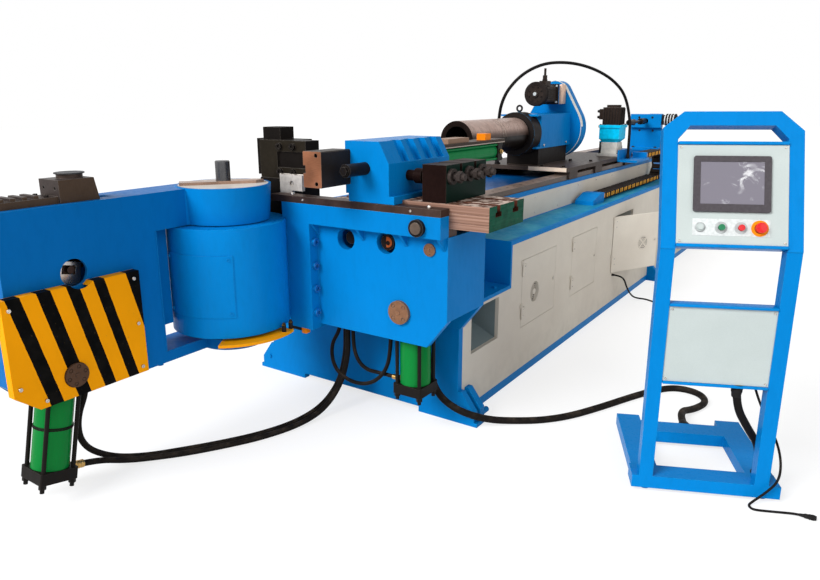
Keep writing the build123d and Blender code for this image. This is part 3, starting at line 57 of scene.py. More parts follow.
X_AXIS = Vector((1, 0, 0))
Y_AXIS = Vector((0, 1, 0))
Z_AXIS = Vector((0, 0, 1))


def at(x, y, z):
    """Point of the machine, in metres."""
    return Vector((x * MM, (y - BED_HALF) * MM, z * MM))


def mm_points(points):
    return [at(*p) for p in points]


def grid(x, y, z):
    """Points at every combination of coordinates, each one a number or a row of numbers."""
    rows = [v if isinstance(v, (tuple, range)) else (v,) for v in (x, y, z)]
    return mm_points(product(*rows))


def direction(a, b):
    return (b - a).normalized()


# The console's own frame, and its tilted upper part
CONSOLE_POS = (1600.5, -129.5)
CONSOLE_TURN = math.radians(24.1)
KINK_Z = 1065
TILT = math.radians(19.3)


def by_console(u, v, z):
    """Point of the console's own frame."""
    x = CONSOLE_POS[0] + u * math.cos(CONSOLE_TURN) - v * math.sin(CONSOLE_TURN)
    y = CONSOLE_POS[1] + u * math.sin(CONSOLE_TURN) + v * math.cos(CONSOLE_TURN)
    return at(x, y, z)


def on_desk(u, v, z):
    """Point of the console's tilted upper part: u across, v into the panel, z up the slope."""
    back = v * math.cos(TILT) + z * math.sin(TILT)
    up = -v * math.sin(TILT) + z * math.cos(TILT) + KINK_Z
    return by_console(u, back, up)


def new_object(name, data):
    """Object in the scene."""
    made = bpy.data.objects.new(name, data)
    bpy.context.scene.collection.objects.link(made)
    return made


# Camera, solved from the photograph's edges
SENSOR = 36.0
IMAGE_W = 820
IMAGE_H = 580
FOCAL_PX = 686.61
PRINCIPAL = (395.54, 279.44)
EYE = (2248.6, -2849.6, 1620.0)
EYE_TURN = math.radians(34.83)
EYE_DOWN = math.radians(14.68)
EYE_ROLL = math.radians(-0.33)
cam_data = bpy.data.cameras.new("camera")
cam_data.sensor_width = SENSOR
cam_data.lens = FOCAL_PX / IMAGE_W * SENSOR
cam_data.shift_x = (IMAGE_W / 2 - PRINCIPAL[0]) / IMAGE_W
cam_data.shift_y = (PRINCIPAL[1] - IMAGE_H / 2) / IMAGE_W
camera = new_object("camera", cam_data)
camera.location = at(*EYE)
turn = Matrix.Rotation(EYE_TURN, 4, "Z") @ Matrix.Rotation(math.pi / 2 - EYE_DOWN, 4, "X")
camera.rotation_euler = (turn @ Matrix.Rotation(EYE_ROLL, 4, "Z")).to_euler()
bpy.context.scene.camera = camera
bpy.context.scene.view_settings.view_transform = "Standard"

# Materials
LOW_GLOSS = 0.03
FACE_LIMIT = 0.6
BEVEL_SAMPLES = 4


class Shader:
    """A material with its Principled shader and short calls for wiring nodes."""

    def __init__(self, name, rough=0.5, metal=0.0, coat=0.0, gloss=LOW_GLOSS):
        self.material = bpy.data.materials.new(name)
        self.material.use_nodes = True
        self.tree = self.material.node_tree
        self.bsdf = self.tree.nodes["Principled BSDF"]
        self.bsdf.inputs["Roughness"].default_value = rough
        self.bsdf.inputs["Metallic"].default_value = metal
        self.bsdf.inputs["Coat Weight"].default_value = coat
        self.bsdf.inputs["Specular IOR Level"].default_value = gloss
        self.place = self.node("ShaderNodeTexCoord").outputs["Object"]

    def node(self, kind, inputs=(), **props):
        """A node with its properties set, and its inputs linked or set."""
        made = self.tree.nodes.new(kind)
        for key, value in props.items():
            setattr(made, key, value)
        for key, value in dict(inputs).items():
            self.put(value, made.inputs[key])
        return made

    def put(self, value, socket):
        """Links an output to a socket, or sets a constant on it."""
        if isinstance(value, bpy.types.NodeSocket):
            self.tree.links.new(value, socket)
        elif isinstance(value, tuple) and len(value) == 3 and socket.type == "RGBA":
            socket.default_value = (*value, 1)
        else:
            socket.default_value = value

    def noise(self, scale, detail=4.0, rough=0.55, stretch=None, distortion=0.0):
        """Noise over the object, stretched along its axes."""
        spot = self.place
        if stretch:
            spot = self.node("ShaderNodeMapping", {"Vector": spot, "Scale": stretch}).outputs["Vector"]
        wanted = {"Vector": spot, "Scale": scale, "Detail": detail, "Roughness": rough}
        return self.node("ShaderNodeTexNoise", {**wanted, "Distortion": distortion}).outputs["Fac"]

    def ramp(self, value, low, high, to_low=0.0, to_high=1.0):
        """A value carried from one range to another, and held at its ends."""
        limits = {"From Min": low, "From Max": high, "To Min": to_low, "To Max": to_high}
        return self.node("ShaderNodeMapRange", {"Value": value, **limits}).outputs["Result"]

    def math(self, operation, a, b=0.0, c=0.0):
        return self.node("ShaderNodeMath", {0: a, 1: b, 2: c}, operation=operation).outputs["Value"]

    def times(self, a, b):
        return self.math("MULTIPLY", a, b)

    def mix(self, factor, a, b, blend="MIX"):
        colours = {"Factor": factor, 6: a, 7: b}
        return self.node("ShaderNodeMix", colours, data_type="RGBA", blend_type=blend).outputs[2]

    def mottled(self, scale, detail, low, high, a, b):
        """Two colours shared out by noise."""
        return self.mix(self.ramp(self.noise(scale, detail), low, high), a, b)

    def vary(self, colour, *ramp):
        """A colour made darker or lighter by a value: the value, its range and what it becomes."""
        return self.mix(1.0, colour, self.ramp(*ramp), "MULTIPLY")

    def split(self, vector, which):
        return self.node("ShaderNodeSeparateXYZ", {"Vector": vector}).outputs[which]

    def axis(self, which):
        """Coordinate along an axis, in metres."""
        return self.split(self.place, which)

    def normal(self):
        return self.node("ShaderNodeNewGeometry").outputs["Normal"]

    def facing(self, which):
        """Component of the surface's own normal along an axis."""
        return self.split(self.normal(), which)

    def within(self, value, low, high):
        """1 where the value lies between two limits."""
        return self.times(self.math("GREATER_THAN", value, low), self.math("LESS_THAN", value, high))

    def inside(self, x=None, y=None, z=None, face=None, disc=None):
        """1 in a place given in millimetres from the front of the bed: limits on axes, a facing, a disc."""
        masks = []
        for name, limits, shift in (("X", x, 0), ("Y", y, BED_HALF), ("Z", z, 0)):
            if limits:
                low, high = limits
                masks.append(self.within(self.axis(name), (low - shift) * MM, (high - shift) * MM))
        if face:
            masks.append(self.math("GREATER_THAN", self.times(self.facing(face[0]), face[1]), FACE_LIMIT))
        if disc:
            masks.append(self.near(*disc))
        whole = masks[0]
        for mask in masks[1:]:
            whole = self.times(whole, mask)
        return whole

    def near(self, axes, centre, r):
        """1 within a radius of a point, measured along the named axes."""
        spot = at(*centre)
        total = 0.0
        for name in axes:
            off = self.math("SUBTRACT", self.axis(name), spot["XYZ".index(name)])
            total = self.math("MULTIPLY_ADD", off, off, total)
        return self.math("LESS_THAN", total, (r * MM) ** 2)

    def patched(self, colour, patches):
        """A colour, with other colours in named places."""
        for other, place in patches:
            colour = self.mix(self.inside(**place), colour, other)
        return colour

    def bevel(self, width):
        """Normal rounded over the edges."""
        return self.node("ShaderNodeBevel", {"Radius": width}, samples=BEVEL_SAMPLES).outputs["Normal"]

    def worn(self, colour, amount, under, width=0.004):
        """A colour that wears through to another on the edges."""
        normals = {0: self.bevel(width), 1: self.normal()}
        turned = self.node("ShaderNodeVectorMath", normals, operation="DOT_PRODUCT").outputs["Value"]
        return self.mix(self.times(self.ramp(turned, 0.985, 0.86), amount), colour, under)

    def finish(self, colour, rough, height, strength, distance, soft_edge=0.0):
        """Sets colour, roughness and fine relief, with edges softened by a width; gives the material."""
        self.put(colour, self.bsdf.inputs["Base Color"])
        self.put(rough, self.bsdf.inputs["Roughness"])
        bump = {"Strength": strength, "Distance": distance, "Height": height}
        if soft_edge:
            bump["Normal"] = self.bevel(soft_edge)
        self.put(self.node("ShaderNodeBump", bump).outputs["Normal"], self.bsdf.inputs["Normal"])
        return self.material


def shade(colour, factor):
    return tuple(min(1.0, c * factor) for c in colour)


def patch(colour, **place):
    """A colour for one place, in the words of Shader.inside."""
    return colour, place


BLUE = (0.001, 0.19, 0.53)
ARM_BLUE = (0.001, 0.14, 0.44)
LIGHT_BLUE = (0.02, 0.40, 0.78)
CREAM = (0.70, 0.645, 0.56)
CONSOLE_GREY = (0.47, 0.525, 0.515)
LINER_GREY = (0.20, 0.25, 0.26)
BROWN_STEEL = (0.070, 0.043, 0.035)
BLACK_STEEL = (0.016, 0.013, 0.012)
PALE_STEEL = (0.62, 0.58, 0.54)
TAN = (0.30, 0.185, 0.125)
BRONZE = (0.25, 0.125, 0.07)
GREEN = (0.004, 0.20, 0.035)
DARK_GREEN = (0.003, 0.055, 0.030)
RED_BROWN = (0.075, 0.022, 0.014)
YELLOW = (0.95, 0.36, 0.003)
ORANGE = (0.90, 0.24, 0.006)
BRASS = (0.55, 0.33, 0.10)
RUBBER = (0.012, 0.010, 0.009)
BLACK_PAINT = (0.012, 0.010, 0.009)
THIN_BLACK = (0.08, 0.065, 0.055)
BROWN_PAINT = (0.060, 0.044, 0.037)
SERVO_BROWN = (0.032, 0.023, 0.019)
DARK_BROWN = (0.013, 0.006, 0.005)
SOOT = (0.018, 0.015, 0.013)


def enamel(name, colour, rough=0.34, coat=0.006, streak=(1, 1, 0.35), thin=LIGHT_BLUE, patches=()):
    """Machine enamel: faint streaks, orange peel and lighter edges, with other colours in named places."""
    s = Shader(name, rough, coat=coat)
    s.bsdf.inputs["Coat Roughness"].default_value = 0.15
    fine = s.noise(38, 5, 0.6, streak)
    base = s.vary(s.patched(colour, patches), s.noise(2.2, 4, 0.55, streak), 0.3, 0.7, 0.94, 1.04)
    base = s.vary(base, fine, 0.45, 0.75, 1.0, 0.93)
    base = s.worn(base, s.ramp(s.noise(55, 4), 0.35, 0.65, 0.10, 0.45), thin)
    rough_range = s.ramp(fine, 0.25, 0.8, rough * 0.8, rough * 1.35)
    return s.finish(base, rough_range, s.noise(420, 3), 0.05, 0.0008, 0.0025)


def panel_enamel(name, colour, warm=(0.60, 0.53, 0.45), patches=()):
    """Fine-textured sheet-metal paint with faint warm reflections and grime low down."""
    s = Shader(name, 0.45, coat=0.01)
    broad = s.noise(1.2, 3, 0.5, (1, 1, 1.6))
    base = s.mix(s.ramp(broad, 0.44, 0.72, 0, 0.55), colour, warm)
    grime = s.times(s.ramp(s.axis("Z"), 0.42, 0.02, 0, 0.22), s.ramp(s.noise(14, 6), 0.4, 0.7))
    base = s.patched(s.mix(grime, base, (0.30, 0.27, 0.23)), patches)
    base = s.vary(base, s.noise(7, 5), 0.35, 0.7, 0.97, 1.02)
    base = s.vary(base, s.noise(260, 3), 0.3, 0.8, 1.0, 0.93)
    return s.finish(base, s.ramp(s.noise(30, 4), 0.3, 0.7, 0.36, 0.54), s.noise(900, 2), 0.08, 0.0006, 0.0015)


def steel(name, colour, rough=0.42, metal=0.85, grain=(1, 12, 1), wear=0.35, gloss=0.05, patches=()):
    """Machined steel: directional grain, oil stains and bright edges, with other colours in named places."""
    s = Shader(name, rough, metal, gloss=gloss)
    stain = s.noise(7, 5, 0.55)
    lines = s.noise(60, 4, 0.6, grain)
    base = s.vary(s.patched(colour, patches), stain, 0.3, 0.7, 0.78, 1.18)
    base = s.worn(s.vary(base, lines, 0.4, 0.7, 1.0, 0.80), wear, (0.36, 0.32, 0.28), 0.003)
    rough_range = s.ramp(stain, 0.3, 0.75, rough * 0.8, min(0.9, rough * 1.35))
    return s.finish(base, rough_range, lines, 0.07, 0.0005, 0.0012)


def plastic(name, colour, rough=0.45, coat=0.0):
    """Moulded plastic with a fine spark texture."""
    s = Shader(name, rough, coat=coat)
    spots = s.noise(90, 4)
    base = s.mix(s.ramp(spots, 0.35, 0.7), shade(colour, 0.88), shade(colour, 1.10))
    rough_range = s.ramp(spots, 0.3, 0.7, rough * 0.85, rough * 1.2)
    return s.finish(base, rough_range, s.noise(700, 2), 0.10, 0.0004, 0.0008)


def rubber(name, colour, rough, dust):
    """Hose rubber with a cloth imprint, and dust on what faces up."""
    s = Shader(name, rough)
    dusty = s.times(s.ramp(s.noise(18, 6), 0.45, 0.72), s.ramp(s.facing("Z"), -0.2, 0.9))
    base = s.mix(s.times(dusty, 0.45), colour, dust)
    rough_range = s.ramp(s.noise(40, 4), 0.3, 0.7, rough * 0.75, rough * 1.25)
    return s.finish(base, rough_range, s.noise(520, 3), 0.25, 0.0008)


# Black bands on the guard, as the places where they meet its top edge
STRIPE_LEAN = 0.25
STRIPE_TOP = 918
STRIPES = [(-1697, -1643), (-1581, -1525), (-1462, -1410), (-1347, -1298), (-1198, -1100)]


def hazard_paint():
    """Orange-yellow plate with leaning black bands on its outer side."""
    s = Shader("hazard_paint", 0.40, gloss=0.02)
    along = s.math("MULTIPLY_ADD", s.axis("Z"), STRIPE_LEAN, s.axis("Y"))
    waver = s.times(s.math("SUBTRACT", s.noise(30, 3), 0.5), 0.004)
    along = s.math("ADD", along, waver)
    lean = STRIPE_LEAN * STRIPE_TOP * MM
    band = 0.0
    for start, end in STRIPES:
        stripe = s.within(along, at(0, start, 0).y + lean, at(0, end, 0).y + lean)
        band = s.math("MAXIMUM", band, stripe)
    outer = s.math("GREATER_THAN", s.axis("X"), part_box("arm_guard")[0].x + 0.002)
    yellow = s.mottled(3, 4, 0.35, 0.7, shade(YELLOW, 0.95), shade(YELLOW, 1.05))
    black = s.mottled(20, 5, 0.4, 0.7, (0.003, 0.003, 0.003), (0.008, 0.007, 0.006))
    base = s.mix(s.times(band, outer), yellow, black)
    base = s.mix(s.ramp(s.noise(80, 6), 0.68, 0.76, 0, 0.30), base, (0.20, 0.12, 0.05))
    return s.finish(base, s.ramp(s.noise(25, 4), 0.3, 0.7, 0.32, 0.48), s.noise(420, 3), 0.06, 0.0008, 0.002)


def saddle_steel():
    """Bare layered steel with straight streaks, rusty oil on top and green paint on the end face."""
    s = Shader("saddle_steel", metal=0.15)
    layers = s.noise(24, 3, 0.5, (0.05, 0.4, 6))
    bare = s.mix(s.ramp(layers, 0.35, 0.65), (0.21, 0.112, 0.080), (0.36, 0.215, 0.160))
    oily = s.mottled(30, 6, 0.46, 0.58, (0.10, 0.045, 0.028), (0.58, 0.46, 0.39))
    base = s.patched(s.mix(s.ramp(s.facing("Z"), 0.5, 0.8), bare, oily), [
        patch(RED_BROWN, y=(-279, -221), z=(1139, 1187)),
        patch(RED_BROWN, y=(-113, -55), z=(1139, 1187)),
    ])
    end = s.inside(x=(968, 972), face=("X", 1))
    paint = s.mottled(20, 5, 0.4, 0.7, DARK_GREEN, shade(DARK_GREEN, 1.7))
    base = s.mix(s.times(end, s.ramp(s.noise(45, 6), 0.74, 0.68)), base, paint)
    return s.finish(base, s.ramp(layers, 0.3, 0.7, 0.40, 0.62), layers, 0.12, 0.0008, 0.0012)


def feed_drive_paint():
    """White base on a dark leg, light blue gearbox and brown-black motor, one above the other."""
    s = Shader("feed_drive_paint", 0.42, coat=0.02)
    base = s.patched((0.74, 0.71, 0.65), [
        patch((0.03, 0.024, 0.020), x=(205, 231), z=(1152, 1262)),
        patch((0.002, 0.60, 0.96), z=(1248.5, 1396.5), x=(211, 400)),
        patch((0.035, 0.024, 0.019), z=(1396.5, 1580)),
    ])
    base = s.worn(s.vary(base, s.noise(30, 5), 0.35, 0.75, 1.05, 0.80), 0.25, (0.45, 0.45, 0.44))
    return s.finish(base, s.ramp(s.noise(40, 4), 0.3, 0.7, 0.32, 0.5), s.noise(500, 3), 0.10, 0.0008, 0.002)


TUBE_Z = 1367
BORE_R = 86
CHUCK_RINGS = (1520, 1556)


def chuck_steel():
    """Turned barrel with two bright rings, a painted highlight on top, painted shade underneath and a bore
    painted near black as shade.
    """
    s = Shader("chuck_steel", 0.34, 0.6)
    turned = s.noise(30, 4, 0.6, (0.6, 14, 0.6))
    base = s.mix(s.ramp(turned, 0.35, 0.7), (0.130, 0.080, 0.064), (0.250, 0.158, 0.128))
    for ring in CHUCK_RINGS:
        base = s.mix(s.inside(y=(ring - 1, ring + 9)), base, (0.80, 0.66, 0.57))
    base = s.mix(s.times(s.inside(y=(1000, 1130)), 0.6), base, (0.03, 0.022, 0.02))
    up = s.facing("Z")
    # Painted highlight: the upward-facing side is lightened in streaks along the turning marks
    top_highlight = s.times(s.ramp(up, 0.12, 0.50, 0, 0.66), s.ramp(turned, 0.38, 0.62, 0.25, 1.0))
    base = s.mix(top_highlight, base, (0.78, 0.57, 0.49))
    # Painted shade: the colour darkens towards the underside
    base = s.vary(base, up, -0.05, 0.40, 0.04, 1.00)
    # Painted shade: the inside of the bore is coloured near black
    bore = s.inside(y=(1000, 1700), disc=("XZ", (0, 0, TUBE_Z), BORE_R))
    base = s.mix(bore, base, (0.010, 0.008, 0.007))
    return s.finish(base, s.ramp(s.noise(12, 5), 0.3, 0.7, 0.26, 0.46), turned, 0.10, 0.0006, 0.0015)


def deck_paint():
    """Bed deck: the enamel, with a paler band along the middle of the shelf's top, a painted sheen."""
    s = Shader("deck_paint", 0.40)
    base = s.vary(BLUE, s.noise(2.0, 4, 0.55), 0.3, 0.7, 0.94, 1.04)
    # Painted sheen: the shelf's upward face is paler along its middle
    shelf = s.inside(x=(422, 628), y=(572, 5700), z=(856, 859), face=("Z", 1))
    shelf_sheen = s.mottled(6, 6, 0.38, 0.64, (0.004, 0.20, 0.37), (0.045, 0.31, 0.42))
    base = s.worn(s.mix(s.times(shelf, 0.85), base, shelf_sheen), 0.25, LIGHT_BLUE)
    return s.finish(base, s.ramp(s.noise(30, 4), 0.3, 0.7, 0.34, 0.50), s.noise(420, 3), 0.05, 0.0008, 0.0025)


DEVICES_PER_M = 14.3
PLATE_X = 0.3925
SHELL_X = 0.475


def device_colours():
    """Switchgear: grey plate at the back and devices in dark and pale plastic."""
    s = Shader("device_colours")
    step = s.math("FLOOR", s.times(s.axis("Y"), DEVICES_PER_M))
    shuffle = s.math("FRACT", s.times(step, 0.37))
    base = s.mix(shuffle, (0.06, 0.065, 0.07), (0.55, 0.56, 0.54))
    base = s.mix(s.math("LESS_THAN", s.axis("X"), PLATE_X), base, (0.55, 0.56, 0.55))
    base = s.mix(s.math("GREATER_THAN", s.axis("X"), SHELL_X), base, (0.50, 0.50, 0.47))
    base = s.vary(base, s.noise(24, 5), 0.35, 0.7, 0.9, 1.05)
    return s.finish(base, s.ramp(s.noise(60, 4), 0.3, 0.7, 0.4, 0.6), s.noise(500, 2), 0.10, 0.0005, 0.001)


def glass_screen():
    """Grey display under a creased protective film, with pale patches of painted glare along the creases."""
    s = Shader("display", 0.16, coat=0.6)
    s.bsdf.inputs["Coat Roughness"].default_value = 0.06
    crease = s.noise(16, 6, 0.66, distortion=1.4)
    # Painted reflection: pale glare patches mixed into the display's colour
    glare = s.times(s.ramp(crease, 0.52, 0.62), s.ramp(s.noise(9, 2), 0.50, 0.62))
    base = s.mix(glare, (0.150, 0.138, 0.172), (0.62, 0.62, 0.64))
    return s.finish(base, s.ramp(crease, 0.3, 0.7, 0.12, 0.24), crease, 0.22, 0.002)


def dress(nodes, material):
    """Puts a material on CAD nodes and gives it back."""
    for node in nodes.split():
        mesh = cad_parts[node].data
        mesh.materials.clear()
        mesh.materials.append(material)
    return material


# Enamelled nodes
PIVOT = (-318, -603, 0)
BOOSTER_AXIS = (392, 0, 1313)
blue = dress("bed_base bend_head_frame mandrel_stand", enamel("blue_enamel", BLUE))
bright_blue = enamel("blue_enamel_light", shade(BLUE, 1.03), 0.28, 0.01)
dress("pressure_block console_frame", bright_blue)
# Painted light: the drum's enamel is a lighter copy of the blue enamel
dress("drum_housing", enamel("drum_enamel_lit", shade(BLUE, 1.16), 0.28, 0.015))
dress("bed_deck", deck_paint())
arm_blue = dress("arm_frame", enamel("arm_enamel", ARM_BLUE, patches=[
    # Painted light: the ring is a lighter copy of the blue enamel
    patch(shade(BLUE, 1.05), z=(1040, 1234), disc=("XY", PIVOT, 228)),
    patch(PALE_STEEL, z=(1234, 1237), disc=("XY", PIVOT, 212)),
]))
dress("spindle_housing", enamel("housing_enamel", BLUE, patches=[
    patch(BLACK_STEEL, y=(1900, 2081)),
    patch(BLUE, y=(2014.9, 2081), z=(1493.5, 1508)),
    patch(BLUE, y=(2014.9, 2081), z=(1256, 1270.5)),
]))
dress("belt_cover", enamel("cover_enamel", BLUE, patches=[
    # Painted highlight: the cover's outer wall next to the housing is pale where it catches the light
    patch((0.80, 0.77, 0.70), y=(2678, 2722), z=(1400, 1790), face=("X", 1)),
]))
dress("upper_beam", enamel("beam_enamel", BLUE, patches=[
    patch((0.001, 0.085, 0.29), x=(-284, 284), face=("Z", 1)),
]))
dress("carriage_plate", enamel("carriage_enamel", BROWN_PAINT, 0.36, 0.02, thin=(0.22, 0.18, 0.15), patches=[
    # Painted shade: the pedestal under the spindle housing is coloured black
    patch(BLACK_STEEL, x=(-131, 131), y=(2099, 2661), z=(1131, 1258)),
    patch(BLUE, x=(411, 600), y=(3100, 3520)),
    patch((0.72, 0.60, 0.49), x=(96, 396), y=(1996, 2004), face=("Y", -1)),
]))
dress("booster_cylinder", enamel("booster_enamel", SOOT, 0.36, 0.05, thin=(0.20, 0.17, 0.14), patches=[
    patch((0.006, 0.20, 0.055), y=(161, 799), z=(1270, 1376.5)),
    patch((0.050, 0.034, 0.027), z=(1377, 1397.5)),
    # Painted highlight: a pale line along the lower edge of the dark bar's outer face
    patch((0.50, 0.42, 0.36), z=(1377, 1382), face=("X", 1)),
    patch(TAN, y=(249, 471), z=(1397.5, 1425)),
    patch(ORANGE, y=(639, 706), z=(1397.5, 1440)),
    patch((0.70, 0.34, 0.07), y=(851, 920), disc=("XZ", BOOSTER_AXIS, 18)),
]))
dress("spin_servo", enamel("servo_enamel", SERVO_BROWN, 0.42, 0.05, thin=(0.20, 0.16, 0.13), patches=[
    patch(BLUE, y=(2569.5, 2590.5)),
    patch((0.50, 0.33, 0.24), y=(2590.5, 2680)),
]))
dress("sensor_plate", enamel("sensor_enamel", YELLOW, 0.34, 0.10, thin=(1.0, 0.52, 0.05), patches=[
    patch(BLACK_STEEL, z=(531, 580)),
]))
green = enamel("green_enamel", GREEN, 0.24, 0.08, (4, 4, 0.25), thin=(0.05, 0.42, 0.12))
dress("clamp_cylinder_tube pressure_cylinder_tube", green)
dress("pressure_cylinder_caps", enamel("black_enamel", BLACK_PAINT, 0.40, 0.05, thin=THIN_BLACK))
dress("clamp_cylinder_caps", enamel("clamp_cap_enamel", BLACK_PAINT, 0.40, 0.05, thin=THIN_BLACK, patches=[
    patch((0.095, 0.050, 0.030), x=(-323, -260)),
]))
dress("left_side_panel front_hatch middle_hatch upper_side_panels", panel_enamel("cream_enamel", CREAM))
door_cream = dress("cabinet_door", panel_enamel("door_enamel", shade(CREAM, 1.12)))
dress("right_side_panel", panel_enamel("side_panel_enamel", CREAM, patches=[
    patch(LINER_GREY, x=(400, 628.5)),
]))
dress("console_lower_panel console_panel", panel_enamel("console_enamel", CONSOLE_GREY, (0.55, 0.60, 0.58)))
dress("arm_guard", hazard_paint())
dress("feed_servo", feed_drive_paint())

# Steel nodes
dress("head_top_plate clamp_lever pressure_lever", steel("brown_steel", BROWN_STEEL, 0.42, 0.6))
black_steel = dress("mandrel_rod booster_rod", steel("black_steel", BLACK_STEEL, 0.40, 0.5, wear=0.2))
bright_steel = dress("clamp_rod pressure_rod feed_pinion", steel("bright_steel", PALE_STEEL, 0.26, 1.0))
dress("guideways", steel("way_steel", (0.085, 0.062, 0.050), 0.34, 0.6, (1, 0.2, 1), patches=[
    patch((0.30, 0.215, 0.175), z=(1070, 1090), face=("Z", 1)),
]))
dress("bend_spindle", steel("spindle_steel", (0.12, 0.12, 0.125), 0.30, 0.8, patches=[
    patch((0.42, 0.27, 0.20), z=(1234, 1250)),
]))
dress("clamp_block", steel("clamp_steel", (0.060, 0.046, 0.042), 0.42, 0.4, gloss=0.04, patches=[
    patch((0.085, 0.055, 0.037), z=(1200, 1323), face=("X", 1)),
    patch((0.030, 0.034, 0.040), z=(1339, 1350)),
    patch((0.075, 0.055, 0.046), z=(1323.5, 1339)),
]))
dress("wiper_holder", steel("wiper_steel", (0.010, 0.008, 0.007), 0.42, 0.25, wear=0.25, gloss=0.03, patches=[
    patch((0.020, 0.016, 0.011), y=(-292, -288), face=("Y", -1)),
    patch(PALE_STEEL, x=(-235, -75), y=(-312, -289.5), z=(1130, 1262)),
]))
dress("pressure_plate", steel("die_plate_steel", (0.035, 0.027, 0.023), 0.42, 0.5, (1, 1, 10), patches=[
    patch((0.330, 0.135, 0.070), y=(-606, -600), face=("Y", -1)),
]))
dress("adjuster_block", steel("adjuster_steel", DARK_BROWN, 0.42, 0.15, wear=0.12, gloss=0.02, patches=[
    patch((0.001, 0.014, 0.009), x=(758, 761), face=("X", 1)),
    patch((0.046, 0.036, 0.033), x=(761, 840)),
]))
dress("head_fasteners", steel("head_fastener_steel", BRONZE, 0.46, 0.4, patches=[
    patch(BLUE, x=(40, 62)),
    patch(BLACK_STEEL, x=(185, 260)),
    patch(BLACK_STEEL, x=(410, 500), z=(930, 1040)),
    patch((0.45, 0.10, 0.025), x=(448, 500), y=(-340, -330), disc=("XZ", (455, 0, 988), 25)),
    patch(BLACK_STEEL, x=(410, 500), y=(-340, -330), disc=("XZ", (458, 0, 984), 11)),
    patch(BLACK_STEEL, x=(620, 710), z=(1040, 1130)),
    patch((0.13, 0.095, 0.075), x=(620, 710), y=(-440, -427), z=(1040, 1130)),
]))
dress("t_slot_saddle", saddle_steel())
dress("chuck_spindle", chuck_steel())
brass = steel("brass", BRASS, 0.30, 1.0)
spacer_steel = steel("spacer_steel", (0.72, 0.50, 0.38), 0.36, 0.3)

# Rubber and plastic
hose = rubber("hose_rubber", RUBBER, 0.55, (0.10, 0.075, 0.055))
cable = rubber("cable_rubber", (0.010, 0.009, 0.009), 0.42, (0.05, 0.04, 0.03))
chain_black = plastic("chain_black", (0.022, 0.016, 0.013), 0.5)
chain_yellow = plastic("chain_yellow", (0.80, 0.36, 0.03), 0.5)
servo_black = plastic("servo_black", (0.022, 0.017, 0.015))
black_plastic = plastic("black_plastic", (0.016, 0.015, 0.015), 0.4)
white_plastic = plastic("white_plastic", (0.62, 0.65, 0.645), 0.35, 0.1)
orange_plastic = plastic("orange_plastic", ORANGE, 0.35, 0.1)
ring_grey = plastic("ring_grey", (0.42, 0.44, 0.44), 0.35, 0.2)
vent_shade = plastic("vent_shade", (0.30, 0.27, 0.24), 0.5)
red_plastic = dress("stop_button emergency_stop", plastic("red_plastic", (0.62, 0.015, 0.02), 0.25, 0.4))
dress("start_button", plastic("green_plastic", (0.004, 0.17, 0.065), 0.25, 0.4))
dress("hmi_bezel", plastic("bezel_grey", (0.075, 0.067, 0.074)))
dress("hmi_screen", glass_screen())
dress("electrical_box", device_colours())


# Mesh pieces
SHARP_ANGLE = 0.6
MERGE_M = 1e-6
WELD_STEP = 0.7
WELD_DIP = 0.14
WELD_JITTER = 0.05
HEX_BOLT = [
    ([(0, 0), (1.5, 0), (1.5, 0.18), (1.42, 0.26), (0, 0.26)], 24),
    ([(0, 0.2), (1, 0.2), (1, 0.75), (0.9, 0.9), (0, 0.9)], 6),
]
SOCKET_BOLT = [
    ([(0, 0), (1, 0), (1, 0.85), (0.92, 0.97), (0.58, 0.97), (0.52, 0.92), (0.50, 0.45), (0, 0.40)], 24),
]
CRIMP = [
    ([(0, 0), (1.5, 0), (1.5, 1.1), (1.4, 1.2), (0, 1.2)], 6),
    ([(0, 1.2), (1.18, 1.2), (1.18, 1.6), (1.3, 1.75), (1.3, 2.4), (1.22, 2.5), (1.22, 2.9),
      (1.3, 3.0), (1.3, 3.7), (1.1, 3.9), (0, 3.9)], 24),
]
GLAND = [
    ([(0, 0), (1.7, 0), (1.7, 0.35), (1.6, 0.45), (0, 0.45)], 24),
    ([(0, 0.4), (1.5, 0.4), (1.5, 1.2), (1.4, 1.3), (0, 1.3)], 6),
    ([(0, 1.2), (1.35, 1.2), (1.35, 2.0), (1.22, 2.5), (1.12, 3.4), (1.05, 3.6), (0, 3.6)], 24),
]


def stub(r, top, edge):
    """Profile of a short end with a chamfer."""
    return [(0, 0), (r, 0), (r, top - edge), (r - edge, top), (0, top)]


